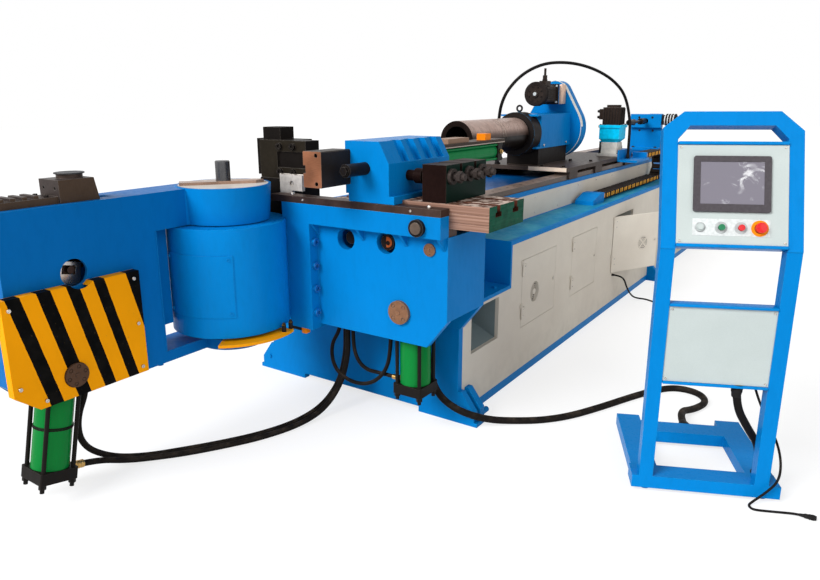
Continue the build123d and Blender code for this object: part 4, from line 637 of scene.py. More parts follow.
class Piece:
    def __init__(self):
        self.bm = bmesh.new()

    def ring(self, centre, side, other, r, steps):
        """Corners round a centre, r in millimetres, or the centre alone where r is 0."""
        if not r:
            return [self.bm.verts.new(centre)]
        made = []
        for i in range(steps):
            a = 2 * math.pi * i / steps
            made.append(self.bm.verts.new(centre + (side * math.cos(a) + other * math.sin(a)) * r * MM))
        return made

    def skin(self, rings, steps, material=0):
        """Faces between neighbouring rings."""
        for low, high in zip(rings, rings[1:]):
            for i in range(steps):
                j = (i + 1) % steps
                quad = [low[i % len(low)], low[j % len(low)], high[j % len(high)], high[i % len(high)]]
                self.bm.faces.new(list(dict.fromkeys(quad))).material_index = material

    def lathe(self, origin, axis, profile, steps=32, material=0):
        """Turned shape: profile is (radius, height) pairs in millimetres along the axis."""
        side = axis.orthogonal().normalized()
        other = axis.cross(side)
        rings = [self.ring(origin + axis * h * MM, side, other, r, steps) for r, h in profile]
        self.skin(rings, steps, material)
        return self

    def fit(self, kind, spots, axis, r=1, material=0):
        """Turned fittings at some points: kind lists profiles in shares of r, and their sides."""
        for spot in spots:
            for profile, steps in kind:
                self.lathe(spot, axis, [(a * r, b * r) for a, b in profile], steps, material)
        return self

    def tube(self, spots, radius, sides, ripple=None):
        """Closed round tube along points in metres; ripple gives each ring its own share of the radius."""
        side = direction(spots[0], spots[1]).orthogonal().normalized()
        rings = []
        for i, spot in enumerate(spots):
            ahead = direction(spots[max(i - 1, 0)], spots[min(i + 1, len(spots) - 1)])
            side = (side - ahead * side.dot(ahead)).normalized()
            share = ripple(i) if ripple else 1
            rings.append(self.ring(spot, side, ahead.cross(side), radius * share, sides))
        self.skin(rings, sides)
        self.bm.faces.new(rings[0][::-1])
        self.bm.faces.new(rings[-1])
        return self

    def bar(self, lo, hi, bevel=2.0, material=0, place=at):
        """Block with rounded edges between two corners in millimetres."""
        made = bmesh.ops.create_cube(self.bm, size=1.0)["verts"]
        for vert in made:
            vert.co = Vector([(a + b) / 2 + c * (b - a) for a, b, c in zip(lo, hi, vert.co)])
        faces = {f for v in made for f in v.link_faces}
        edges = list(dict.fromkeys(e for v in made for e in v.link_edges))
        cut = bmesh.ops.bevel(self.bm, geom=edges, offset=bevel, segments=2, affect="EDGES", profile=0.5)
        verts = {v for f in cut["faces"] for v in f.verts} | {v for f in faces if f.is_valid for v in f.verts}
        for face in {f for v in verts for f in v.link_faces}:
            face.material_index = material
        for vert in verts:
            vert.co = place(*vert.co)
        return self

    def weld(self, a, b, r):
        """Rippled weld bead between two points."""
        count = max(8, int((b - a).length / (r * MM * WELD_STEP)))
        spots = [a.lerp(b, i / count) for i in range(count + 1)]

        def ripple(i):
            return 1 - WELD_DIP * (1 - i % 2) + random.uniform(-WELD_JITTER, WELD_JITTER)

        self.tube(spots, r, 10, ripple)

    def turn_out(self):
        bmesh.ops.recalc_face_normals(self.bm, faces=self.bm.faces)

    def made(self, name, materials, smooth=True):
        """The mesh as an object in the scene."""
        mesh = bpy.data.meshes.new(name)
        self.bm.to_mesh(mesh)
        self.bm.free()
        for face in mesh.polygons:
            face.use_smooth = smooth
        for material in materials:
            mesh.materials.append(material)
        return new_object(name, mesh)

    def finish(self, name, material, body, slot):
        """The mesh as a piece that rides on a body; sharp edges stay sharp."""
        bmesh.ops.remove_doubles(self.bm, verts=self.bm.verts, dist=MERGE_M)
        self.turn_out()
        piece = self.made(name, material if isinstance(material, list) else [material])
        piece.data.set_sharp_from_angle(angle=SHARP_ANGLE)
        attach(piece, body)
        return piece


# Hoses and cables
HOSE_R = 14
THIN_HOSE_R = 10
CONDUIT_R = 18
CABLE_R = 16
LEAD_R = 5
CABINET_R = 6.5
ARCH_R = 12
MANIFOLD_Z = 580
ELBOW = (-1344, 556)
CLAMP_LOW_ROUTE = [
    (-425, -1463.6, 98.8), (-425, -1346.2, 73.8), (-392, -1225, 24), (-318, -1120, 15), (-236, -1020, 15),
    (-140, -870, 15), (-48, -700, 15), (12, -500, 16), (32, -330, 40), (66, -232, 150), (96, -202, 300),
    (100, -200, 430), (100, -200, MANIFOLD_Z),
]
CLAMP_HIGH_ROUTE = [
    (-425, *ELBOW), (-425, ELBOW[0], 430), (-452, -1402, 280), (-470, -1380, 140), (-452, -1270, 45),
    (-375, -1150, 16), (-272, -1004, 15), (-172, -852, 15), (-82, -684, 15), (-24, -490, 16), (0, -310, 42),
    (40, -215, 150), (64, -180, 300), (68, -176, 430), (68, -176, MANIFOLD_Z),
]
PRESS_LOW_ROUTE = [
    (435, -215, 273), (330, -215, 273), (215, -212, 268), (150, -208, 330), (136, -204, 440),
    (136, -204, MANIFOLD_Z),
]
PRESS_HIGH_ROUTE = [
    (392, -222, MANIFOLD_Z), (392, -222, 440), (372, -235, 300), (270, -240, 205), (140, -240, 190),
    (30, -238, 240), (10, -236, 370), (80, -230, 470), (80, -230, MANIFOLD_Z),
]
CONDUIT_ROUTE = [
    (478, -20, 525), (478, -20, 390), (505, -48, 270), (580, -80, 170), (668, -76, 118), (752, -24, 74),
    (820, 66, 34), (900, 150, 18), (1010, 230, 18), (1116, 360, 18), (1215, 560, 18), (1310, 780, 18),
    (1395, 950, 18), (1485, 1055, 18), (1610, 1045, 18), (1672, 938, 18), (1632, 806, 18),
]
ARCH_ROUTE = [
    (450, 3300, 1110), (450, 3300, 1260), (432, 3350, 1440), (385, 3310, 1650), (325, 3160, 1765),
    (250, 2985, 1840), (170, 2790, 1886), (95, 2580, 1900), (20, 2360, 1882), (-46, 2150, 1806),
    (-102, 2020, 1692), (-150, 2010, 1584), (-178, 2036, 1480), (-190, 2050, 1370), (-190, 2050, 1130),
]
CABINET_ROUTE = [
    (650, 2440, 272), (706, 2440, 272), (738, 2478, 242), (744, 2545, 158), (747, 2640, 86),
    (752, 2725, 38), (772, 2796, 12), (822, 2822, 7), (885, 2790, 7), (950, 2738, 7), (1030, 2670, 7),
    (1110, 2590, 7), (1190, 2506, 7), (1260, 2410, 7), (1330, 2320, 7),
]
# These three are in the console's frame
CONDUIT_END = [(304, 735, 48), (304, 540, 48)]
CABLE_ROUTE = [(352, 24, 509), (352, 24, 420), (430, 65, 290), (500, 106, 190), (500, 106, 75)]
LEAD_ROUTE = [
    (430, 44, 545), (430, 110, 545), (455, 140, 450), (505, 118, 330), (548, 80, 245), (556, 24, 180),
    (540, -24, 120), (505, -22, 66), (448, -24, 10), (434, -38, 6), (434, -58, 5.5), (448, -72, 5.5),
    (510, -72, 5.5), (560, -74, 7), (596, -82, 11.5), (624, -90, 11.5),
]
COIL_AT = (1440, 2390)
COIL_R = 94
COIL_STEP = 16
COIL_TURNS = 3
TURN_POINTS = 12
FLOOR_GAP = 0.5


def coil():
    """Put-away coil: turns drawn in on the floor, half a turn up, turns let out, and a straight end."""
    flat = COIL_TURNS * TURN_POINTS
    rise = TURN_POINTS // 2
    last = 2 * flat + rise
    points = []
    for i in range(last + 1):
        r = COIL_R - COIL_STEP * min(i, flat, last - i) / TURN_POINTS
        a = 2 * math.pi * i / TURN_POINTS - math.pi / 2
        z = CABINET_R + FLOOR_GAP + COIL_STEP * min(max(i - flat, 0), rise) / rise
        points.append((COIL_AT[0] + r * math.cos(a), COIL_AT[1] + r * math.sin(a), z))
    x, y, z = points[-1]
    return points + [(x - 62, y - 4, z)]


def spline_piece(name, points, radius, material):
    """One smooth cord through its control points."""
    curve = bpy.data.curves.new(name, "CURVE")
    curve.dimensions = "3D"
    curve.bevel_depth = radius * MM
    curve.bevel_resolution = 5
    curve.resolution_u = 8
    curve.use_fill_caps = True
    spline = curve.splines.new("NURBS")
    spline.points.add(len(points) - 1)
    for spot, point in zip(spline.points, points):
        spot.co = (*point, 1)
    spline.order_u = 3
    spline.use_endpoint_u = True
    curve.materials.append(material)
    return new_object(name, curve)


def cord(name, points, radius, node, body, material):
    """Cord that stands for its solid, which is hidden."""
    piece = spline_piece(name, points, radius, material)
    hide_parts(node)
    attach(piece, body)


def spline_points(points):
    """Points read along the smooth line of a route."""
    line = spline_piece("line", points, 0, hose)
    mesh = bpy.data.meshes.new_from_object(line)
    spots = [v.co.copy() for v in mesh.vertices]
    bpy.data.objects.remove(line)
    bpy.data.meshes.remove(mesh)
    return spots


def arm_hose(name, route):
    """Hose from the clamp cylinder, a tube along its route in place of the CAD hoses."""
    spots = spline_points(mm_points(route))
    piece = Piece().tube(spots, HOSE_R, 20).made(name, [hose])
    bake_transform(piece)
    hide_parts("arm_hoses")


def lead_with_plug(name, points, r, node):
    """Thin lead with a round connector on its end."""
    plug = Piece().lathe(points[-1], direction(points[-2], points[-1]), [
        (0, -18), (r + 0.5, -18), (r + 1.2, -12), (r + 2.6, 0), (r + 4, 1), (r + 4.6, 3), (r + 4.6, 15),
        (r + 6.4, 17), (r + 6.4, 21), (r + 5.6, 22), (r + 5.6, 24), (r + 6.4, 25), (r + 6.4, 34),
        (r + 5.2, 36), (r + 4.6, 41), (r + 4, 42), (0, 42)], 28)
    end = plug.finish(name + "_plug", black_plastic, "machine", "device_plastic")
    cord(name + "_line", points, r, node, "machine", cable)


conduit_points = mm_points(CONDUIT_ROUTE) + [by_console(*p) for p in CONDUIT_END]
cable_points = [by_console(*p) for p in CABLE_ROUTE]
lead_points = [by_console(*p) for p in LEAD_ROUTE]
arch_points = mm_points(ARCH_ROUTE)
cabinet_points = mm_points(CABINET_ROUTE + coil())
arm_hose("arm_hose_low", CLAMP_LOW_ROUTE)
arm_hose("arm_hose_high", CLAMP_HIGH_ROUTE)
for end, route, length in (("low", PRESS_LOW_ROUTE, 0.553), ("high", PRESS_HIGH_ROUTE, 1.008)):
    cord("head_hose_" + end, mm_points(route), THIN_HOSE_R,
         "head_hoses", "machine", hose)
cord("console_conduit_sleeve", conduit_points, CONDUIT_R,
     "console_conduit", "machine", hose)
cord("console_cable_sleeve", cable_points, CABLE_R,
     "console_cable", "machine", cable)
cord("carriage_cable_loom", arch_points, ARCH_R,
     "carriage_cable", "carriage", cable)
random.seed(7)
lead_with_plug("console_lead", lead_points, LEAD_R, "console_lead")
lead_with_plug("cabinet_lead", cabinet_points, CABINET_R, "cabinet_cable")


# Hose ends and cable glands
def hose_ends():
    """Brass hose ends on the clamp cylinder, the pressure cylinder and the head."""
    ends = Piece()
    for name, route in (("low", CLAMP_LOW_ROUTE), ("high", CLAMP_HIGH_ROUTE)):
        start, ahead = mm_points(route[:2])
        end = Piece().fit(CRIMP, [start], direction(start, ahead), HOSE_R)
        end.finish("arm_hose_end_" + name, brass, "bend_arm", "ground_steel")
        ends.fit(CRIMP, [at(*route[-1])], -Z_AXIS, HOSE_R)
    for route, out in ((PRESS_LOW_ROUTE, -X_AXIS), (PRESS_HIGH_ROUTE, -Z_AXIS)):
        ends.fit(CRIMP, [at(*route[-1])], -Z_AXIS, THIN_HOSE_R)
        ends.fit(CRIMP, [at(*route[0])], out, THIN_HOSE_R)
    ends.finish("head_hose_ends", brass, "machine", "ground_steel")


def glands():
    """Glands where cables enter the machine, the console and the carriage."""
    fixed = Piece()
    for spot, out, r in (
        (conduit_points[0], -Z_AXIS, CONDUIT_R),
        (conduit_points[-1], direction(conduit_points[-1], conduit_points[-2]), CONDUIT_R),
        (cable_points[0], -Z_AXIS, CABLE_R),
        (cable_points[-1], Z_AXIS, CABLE_R),
        (lead_points[0], direction(lead_points[0], lead_points[1]), LEAD_R),
        (cabinet_points[0], X_AXIS, CABINET_R),
    ):
        fixed.fit(GLAND, [spot], out, r)
    fixed.finish("cable_glands", black_plastic, "machine", "device_plastic")
    riding = Piece().fit(GLAND, (arch_points[0], arch_points[-1]), Z_AXIS, ARCH_R)
    riding.finish("carriage_glands", black_plastic, "carriage", "device_plastic")


hose_ends()
glands()

# Drag chain
CHAIN_X = (448, 556)
CHAIN_LOW = 893
CHAIN_UP = 1127
CHAIN_T = 46
CHAIN_PLATE = 7
CHAIN_INSET = 4
CHAIN_PITCH = 56
CHAIN_START = 2340
CHAIN_LOOP_Y = 4010
CHAIN_END = 3500
LINK_HALF = CHAIN_PITCH * 0.62


def link_at(y, z, turn):
    """Frame of one chain link: across, along and out of the chain's plane."""
    mid = sum(CHAIN_X) / 2
    c = math.cos(turn)
    n = math.sin(turn)
    return lambda a, b, h: at(mid + a, y + b * c - h * n, z + b * n + h * c)


def link_places():
    """Places of the links along the lower run, round the loop and along the upper run."""
    loop_r = (CHAIN_UP - CHAIN_LOW) / 2
    loop_z = (CHAIN_UP + CHAIN_LOW) / 2
    places = []
    for i in range(int((CHAIN_LOOP_Y - CHAIN_START) / CHAIN_PITCH)):
        places.append((CHAIN_START + CHAIN_PITCH * (i + 0.5), CHAIN_LOW, 0))
    bends = int(math.pi * loop_r / CHAIN_PITCH)
    for i in range(bends):
        a = math.pi * (i + 0.5) / bends
        places.append((CHAIN_LOOP_Y + loop_r * math.sin(a), loop_z - loop_r * math.cos(a), a))
    for i in range(int((CHAIN_LOOP_Y - CHAIN_END) / CHAIN_PITCH)):
        places.append((CHAIN_LOOP_Y - CHAIN_PITCH * (i + 0.5), CHAIN_UP, math.pi))
    return places


def drag_chain():
    """Links with two side plates, dark crossbars and yellow clips in their outer sides."""
    half = (CHAIN_X[1] - CHAIN_X[0]) / 2
    rise = CHAIN_T / 2
    chain = Piece()
    for i, place in enumerate(link_places()):
        here = link_at(*place)
        outer = half - CHAIN_INSET * (i % 2)
        for a in (-outer, outer - CHAIN_PLATE):
            chain.bar((a, -LINK_HALF, -rise), (a + CHAIN_PLATE, LINK_HALF, rise), 3, 0, here)
        for h in (5 - rise, rise - 5):
            chain.bar((8 - half, -19, h - 4), (half - 8, 19, h + 4), 2, 0, here)
        chain.bar((outer - 3, -12, -15), (outer + 2.5, 12, 15), 2, 1, here)
    chain.turn_out()
    piece = chain.made("drag_chain_links", [chain_black, chain_yellow], smooth=False)
    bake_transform(piece)
    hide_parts("drag_chain")


drag_chain()

# Console trim
BUTTON_Z = 78
STOP_U = 359
RIM_LEFT = 61
RIM_RIGHT = 458
DESK_FACE = -4
DESK_OUT = direction(on_desk(0, 0, 0), on_desk(0, -1, 0))
CONSOLE_OUT = direction(by_console(0, 0, 0), by_console(0, -1, 0))


def console_trim():
    """Rims, button strip, rings, legend and screws of the console."""
    rims = Piece()
    for z in (1, 401):
        rims.bar((RIM_LEFT, -11, z), (RIM_RIGHT, 60, z + 12), 2, 0, on_desk)
    for z in (826, 498):
        rims.bar((RIM_LEFT, -6, z), (RIM_RIGHT, 50, z + 10), 2, 0, by_console)
    rims.finish("console_rims", bright_blue, "machine", "blue_paint")
    plates = Piece().bar((118, -5.2, 46), (396, -4.05, 112), 0.4, 0, on_desk)
    for u, inner, outer in ((221, 11.6, 23), (292, 11.6, 23), (146, 15.2, 19)):
        plates.lathe(on_desk(u, DESK_FACE, BUTTON_Z), DESK_OUT, [
            (inner, 1), (outer, 1), (outer, 2.4), (outer - 2, 3.6), (outer - 4, 3.6), (inner + 2, 5),
            (inner, 5), (inner, 1)], 36, 1)
    stop = on_desk(STOP_U, DESK_FACE, BUTTON_Z)
    plates.lathe(stop, DESK_OUT, [(11.6, 1), (31, 1), (31, 2.2), (30, 2.8), (11.6, 2.8), (11.6, 1)], 40, 2)
    plates.lathe(stop, DESK_OUT, [(11.6, 2.6), (20, 2.6), (20, 3.4), (11.6, 3.6), (11.6, 2.6)], 32, 3)
    trims = [white_plastic, ring_grey, orange_plastic, black_plastic]
    plates.finish("button_plates", trims, "machine", "console_paint")
    screws = Piece()
    for u in (72, 447):
        screws.fit(SOCKET_BOLT, [on_desk(u, DESK_FACE, z) for z in (24, 390)], DESK_OUT, 4)
        screws.fit(SOCKET_BOLT, [by_console(u, 4, z) for z in (520, 814)], CONSOLE_OUT, 4)
    screws.finish("console_screws", bright_steel, "machine", "ground_steel")
    dome = [(0, -0.5), (17, -0.5), (16, 1.4), (10, 2.4), (0, 2.8)]
    cap = Piece().lathe(on_desk(STOP_U, -28, BUTTON_Z), DESK_OUT, dome)
    cap.finish("emergency_stop_dome", red_plastic, "emergency_stop", "button_red")


console_trim()

# Doors, as (y0, y1, z0, z1) of each
BED_HW = 650
DOORS = {
    "front_hatch": (735, 1240, 308, 719),
    "middle_hatch": (1525, 2010, 310, 722),
    "cabinet_door": (2390, 2890, 295, 739),
}
FAN = (925, 490)
FAN_HUB_R = 19
FAN_TIP_R = 60
FAN_BLADES = 5
BLADE_STEPS = 6
BLADE_HALF = 0.32
BLADE_SWEEP = 0.25
VENT = (2725, 505)
VENT_R = 54
HINGE = (656, 2386.5)
DOOR_OPEN = math.radians(26)
LOCK_RING = [([(4, 0), (8.6, 0), (8.6, 0.8), (8, 1.2), (4.4, 1.2), (4, 0)], 28)]
HINGE_SCREW = [([(0, 0), (5, 0), (4.6, 1.4), (3, 2.2), (0, 2.4)], 20)]


def on_cabinet_door(x, y, z):
    """Point of the cabinet door as if closed, moved to where the door stands open."""
    dx = x - HINGE[0]
    dy = y - HINGE[1]
    c = math.cos(-DOOR_OPEN)
    n = math.sin(-DOOR_OPEN)
    return at(HINGE[0] + dx * c - dy * n, HINGE[1] + dx * n + dy * c, z)


def door_hardware(body):
    """Lock slot and hinge screws of one door."""
    place = on_cabinet_door if body == "cabinet_door" else at
    y0, y1, z0, z1 = DOORS[body]
    out = direction(place(0, 0, 0), place(1, 0, 0))
    mid = (z0 + z1) / 2
    lock = y1 - 30
    kit = Piece().bar((BED_HW + 0.9, lock - 1.4, mid - 6), (BED_HW + 1.6, lock + 1.4, mid + 6), 0.3, 1, place)
    kit.fit(LOCK_RING, [place(BED_HW + 1, lock, mid)], out)
    for hinge in (z0 + 90, z1 - 60):
        kit.fit(HINGE_SCREW, [place(BED_HW + 6, y0 + 27, hinge + dz) for dz in (-22, 22)], out)
    kit.finish(body + "_hardware", [bright_steel, black_plastic], body, "ground_steel")


def fan():
    """Fan behind the front hatch's grille: dark backing and curved blades."""
    made = Piece().lathe(at(BED_HW - 17.5, *FAN), X_AXIS, [(0, 0), (61.5, 0), (61.5, 1), (0, 1)], 40)
    for blade in range(FAN_BLADES):
        rows = []
        for edge in (-BLADE_HALF, BLADE_HALF):
            row = []
            for i in range(BLADE_STEPS + 1):
                along = i / BLADE_STEPS
                r = FAN_HUB_R + (FAN_TIP_R - FAN_HUB_R) * along
                a = 2 * math.pi * blade / FAN_BLADES + edge + BLADE_SWEEP * along
                spot = at(BED_HW - 13 + 6 * edge, FAN[0] + r * math.cos(a), FAN[1] + r * math.sin(a))
                row.append(made.bm.verts.new(spot))
            rows.append(row)
        low, high = rows
        for i in range(BLADE_STEPS):
            made.bm.faces.new((low[i], low[i + 1], high[i + 1], high[i])).material_index = 1
    made.finish("hatch_fan", [black_plastic, servo_black], "front_hatch", "device_plastic")


def vent():
    """Round grille in the cabinet door: pale spokes and rings over a shaded backing."""
    out = direction(on_cabinet_door(0, 0, 0), on_cabinet_door(1, 0, 0))
    middle = on_cabinet_door(BED_HW, *VENT)
    grille = Piece().lathe(middle, out, [(0, 0.2), (VENT_R, 0.2), (VENT_R, 0.7), (0, 0.7)], 48, 1)
    for r in (18, 32, 46):
        grille.lathe(middle, out, [(r, 0.5), (r + 7, 0.5), (r + 6, 2.4), (r + 1, 2.4), (r, 0.5)], 48)
    grille.lathe(middle, out, [(0, 0.5), (11, 0.5), (10, 2.6), (0, 2.8)])
    for spoke in range(4):
        c = math.cos(math.pi / 4 + math.pi / 2 * spoke)
        n = math.sin(math.pi / 4 + math.pi / 2 * spoke)
        here = lambda h, run, side: on_cabinet_door(
            BED_HW + h, VENT[0] + c * run - n * side, VENT[1] + n * run + c * side)
        grille.bar((0.5, 6, -5), (3.0, VENT_R - 1, 5), 0.8, 0, here)
    grille.finish("cabinet_vent", [door_cream, vent_shade], "cabinet_door", "panel_paint")


for body in DOORS:
    door_hardware(body)
fan()
vent()

# Screws and bolts
WAY_SCREW = [([(0, 0.05), (8.5, 0.05), (8.5, 0.14), (9.5, 0.14), (9.5, 0.2), (4.6, 0.2), (0, 0.1)], 20)]
COVER_SCREW = [([(0, 0), (7, 0), (6.6, 1.6), (4.5, 2.8), (0, 3.2)], 20)]
STAND_BOLT = [([(0, 0), (12.6, 0), (12.6, 5), (11, 6.5), (7, 6.5), (6, 2), (0, 1)], 24)]
GUARD_X = -283
GUARD_SCREWS = [
    (GUARD_X, -1690, 880), (GUARD_X, -1690, 570), (GUARD_X, -1598, 492), (GUARD_X, -1165, 492),
    (GUARD_X, -1165, 690), (GUARD_X, -1165, 890),
]
WAY_X = 340
WAY_Z = 1075
WAY_ROW = range(640, 5441, 100)
COVER_X = 405
COVER_ROW = range(640, 4241, 400)
COVER_LINES = (882, 988)
CARRIAGE_TOP = 1130
HOUSING_X = 150
HOUSING_LINE = 1280
FEED_X = 300
FEED_Y = 3300
FEED_BOLT = 82
FEED_BOLTS = ((FEED_X - FEED_BOLT, FEED_X + FEED_BOLT), (FEED_Y - FEED_BOLT, FEED_Y + FEED_BOLT))
# Each piece has its material, body and slot, and rows of fitting, places, axis and radius
SCREWS = [
    ("guideway_screws", black_steel, "machine", "dark_steel", [
        (WAY_SCREW, grid((-WAY_X, WAY_X), WAY_ROW, WAY_Z), Z_AXIS),
    ]),
    ("cover_screws", bright_steel, "machine", "ground_steel", [
        (COVER_SCREW, grid(-COVER_X, COVER_ROW, COVER_LINES), -X_AXIS),
        (COVER_SCREW, grid(COVER_X, COVER_ROW, COVER_LINES), X_AXIS),
    ]),
    ("wear_plate_screws", bright_steel, "machine", "ground_steel", [
        (SOCKET_BOLT, grid((8, 628), -403, 1156), -Y_AXIS, 5.8),
        (SOCKET_BOLT, grid((-90, 700), -370, 1172), Z_AXIS, 9),
    ]),
    ("mandrel_bolts", black_steel, "machine", "dark_steel", [
        (HEX_BOLT, grid((-125, 125), 5440, 1068), Z_AXIS, 14),
        (STAND_BOLT, grid((-74, 74), 5480, 1258) + grid((-74, 74), 5430, 1405), -Y_AXIS),
    ]),
    ("bed_bolts", blue, "machine", "blue_paint", [
        (HEX_BOLT, grid((-560, -300, 0, 300, 560), 0, 570), -Y_AXIS, 11),
        (HEX_BOLT, grid((-600, 600), (90, 260, 480), 606), Z_AXIS, 11),
    ]),
    ("carriage_bolts", black_steel, "carriage", "dark_steel", [
        (SOCKET_BOLT, grid((-350, -180, 180, 350), (2060, 2640, 3520), CARRIAGE_TOP), Z_AXIS, 13),
    ]),
    ("housing_screws", bright_steel, "carriage", "ground_steel", [
        (SOCKET_BOLT, grid(-HOUSING_X, (2140, 2590), HOUSING_LINE), -X_AXIS, 9),
        (SOCKET_BOLT, grid(HOUSING_X, (2140, 2590), HOUSING_LINE), X_AXIS, 9),
    ]),
    ("drive_screws", black_steel, "carriage", "dark_steel", [
        (SOCKET_BOLT, grid(*FEED_BOLTS, 1152), Z_AXIS, 7),
        (SOCKET_BOLT, grid(*FEED_BOLTS, 1396), Z_AXIS, 8),
    ]),
    ("guard_screws", bright_steel, "bend_arm", "ground_steel", [
        (SOCKET_BOLT, mm_points(GUARD_SCREWS), X_AXIS, 8),
    ]),
    ("clamp_block_screws", black_steel, "clamp_block", "dark_steel", [
        (SOCKET_BOLT, grid((-465, -385), -1392, 1290), -Y_AXIS, 7.6),
        (SOCKET_BOLT, grid((-465, -385), -1438, 1260), Z_AXIS, 9),
    ]),
]
for name, material, body, slot, fittings in SCREWS:
    screws = Piece()
    for fitting in fittings:
        screws.fit(*fitting)
    screws.finish(name, material, body, slot)

# Servo motors and belt cover
SERVO_Z = 1656
SERVO_FINS = 5
FIN_PITCH = 16
END_SCREWS = 8
END_SCREW_R = 54
FEED_FINS = 6
FEED_FIN_PITCH = 24
FEED_FIN_Z = (1402, 1538)
COWL = [
    (64, 2), (84, 2), (92, 8), (92, 16), (86, 18), (86, 24), (92, 26), (92, 34), (86, 36), (86, 42), (92, 44),
    (92, 52), (84, 56), (64, 56), (64, 2),
]
DRIVE_PLUG = [([(0, 0), (15, 0), (15, 12), (13, 14), (11, 14), (11, 26), (0, 26)], 20)]


def servo_details():
    """Cooling fins, cowl, mounting block, end screws, shaft cap and plugs of the two servo motors."""
    drive = Piece()
    for i in range(SERVO_FINS):
        z = SERVO_Z - 36 + i * FIN_PITCH
        for x in (-70, 64):
            drive.bar((x, 2336, z), (x + 6, 2564, z + 7), 1.5)
    for i in range(END_SCREWS):
        a = 2 * math.pi * (i + 0.5) / END_SCREWS
        spot = at(END_SCREW_R * math.cos(a), 2290, SERVO_Z + END_SCREW_R * math.sin(a))
        drive.lathe(spot, -Y_AXIS, stub(7, 6, 1), 6)
    drive.lathe(at(0, 2278, SERVO_Z), -Y_AXIS, [(0, 0), (14, 0), (13, 2), (0, 3)], 24, 1)
    drive.lathe(at(0, 2286, SERVO_Z), Y_AXIS, COWL, 40)
    nuts = grid((-66, 66), 2560, (SERVO_Z - 62, SERVO_Z + 62))
    drive.fit([(stub(9, 10, 2), 6)], nuts, -Y_AXIS, material=1)
    drive.bar((-80, 2556, SERVO_Z - 80), (80, 2570, SERVO_Z + 78), 5)
    drive.bar((-60, 2592, SERVO_Z - 78), (98, 2678, SERVO_Z + 74), 6, 2)
    drive.lathe(at(36, 2380, 1754), Z_AXIS, [(17, 0), (20, 0), (20, 10), (18, 12), (17, 12), (17, 0)], 24)
    low, high = FEED_FIN_Z
    for i in range(FEED_FINS):
        along = i * FEED_FIN_PITCH - 63
        drive.bar((FEED_X + 74, FEED_Y + along, low), (FEED_X + 81, FEED_Y + along + 8, high), 1.5)
        drive.bar((FEED_X + along, FEED_Y - 81, low), (FEED_X + along + 8, FEED_Y - 74, high), 1.5)
    drive.fit(DRIVE_PLUG, grid(FEED_X - 115, FEED_Y, (1460, 1510)), -X_AXIS)
    drive.finish("drive_fins", [servo_black, white_plastic, spacer_steel], "carriage", "servo_black")


# Belt cover: its lower round end, its upper one round the servo's axis, and the pale tube on its rim, a
# painted highlight
COVER_LOW_Z = 1382
COVER_LOW_R = 240
COVER_HIGH_R = 105
COVER_RIM_Y = 2676
COVER_RIM_R = 3.2


def cover_rim_highlight():
    """Pale tube along the rim where the belt cover meets the housing: a painted highlight."""
    lean = math.acos((COVER_LOW_R - COVER_HIGH_R) / (SERVO_Z - COVER_LOW_Z))
    spots = []
    for r, z, start, sweep, steps in (
        (COVER_HIGH_R, SERVO_Z, math.pi / 2 - lean, 2 * lean, 24),
        (COVER_LOW_R, COVER_LOW_Z, math.pi / 2 + lean, 2 * math.pi - 2 * lean, 40),
    ):
        for i in range(steps + 1):
            a = start + sweep * i / steps
            spots.append(at(r * math.cos(a), COVER_RIM_Y, z + r * math.sin(a)))
    spots.append(spots[0].copy())
    Piece().tube(spots, COVER_RIM_R, 8).finish("belt_cover_rim_highlight", white_plastic, "carriage", "panel_paint")


servo_details()
cover_rim_highlight()

# Arm, head and mandrel details
CLAMP_TILT = math.radians(12)
CLAMP_TRUNNION = (-425, -1465, 554)
BAND = [(75, 0), (78, 0), (79, 2.5), (78, 5), (75, 5), (75, 0)]


def barrel_band():
    """Double band round the clamp barrel."""
    up = Vector((0, math.sin(CLAMP_TILT), math.cos(CLAMP_TILT)))
    band = Piece()
    for h in (-250, -243):
        band.lathe(at(*CLAMP_TRUNNION) + up * h * MM, up, BAND, 40)
    band.finish("barrel_band", cable, "bend_arm", "hose_rubber")


HEAD_GUSSETS = (50, 326, 567, 764)
GUSSET_HALF = 7


def welds():
    """Beads where the plates of the arm, head and bed meet."""
    arm = Piece()
    arm.weld(at(-325, -1003, 500), at(-325, -1003, 1062), 4)
    arm.weld(at(-325, -1000, 498), at(-325, -640, 498), 4)
    arm.finish("arm_welds", arm_blue, "bend_arm", "blue_paint")
    head = Piece()
    for gusset in HEAD_GUSSETS:
        for x in (gusset - GUSSET_HALF, gusset + GUSSET_HALF):
            head.weld(at(x, -347, 985), at(x, -347, 1040), 3.5)
            head.weld(at(x, -400, 1043), at(x, -350, 1043), 3.5)
    for x in (-BED_HW, BED_HW):
        head.weld(at(x, 38, 55), at(x, 38, 170), 4)
    head.weld(at(42, -346, 530), at(42, -346, 1040), 4)
    head.finish("frame_welds", blue, "machine", "blue_paint")


COUPLING = [(0, 0), (15, 0), (15, 6), (12, 8), (12, 16), (10, 18), (0, 18)]


def booster_fittings():
    """Brass coupling behind the booster cylinder and plugs on its end blocks."""
    middle = at(*BOOSTER_AXIS)
    kit = Piece().lathe(middle + Y_AXIS * 900 * MM, Y_AXIS, stub(21, 15, 1), 6)
    kit.lathe(middle + Y_AXIS * 914 * MM, Y_AXIS, COUPLING, 20)
    for y in (135, 825):
        kit.lathe(at(438, y, 1325), X_AXIS, stub(15, 8, 1), 6)
        kit.lathe(at(445, y, 1325), X_AXIS, stub(10, 10, 2), 20)
    kit.finish("booster_fittings", brass, "pressure_slide", "ground_steel")


def head_sensor():
    """Small orange switch and its black holder under the head's corner strip."""
    switch = Piece().bar((-36, -404, 474), (-6, -372, 504.5), 3)
    switch.bar((-100, -402, 484), (-40, -374, 504.5), 3, 1)
    switch.finish("head_switch", [orange_plastic, black_plastic], "machine", "device_plastic")


VALVE = (200, 5474, 1380)
VALVE_PITCH = 30


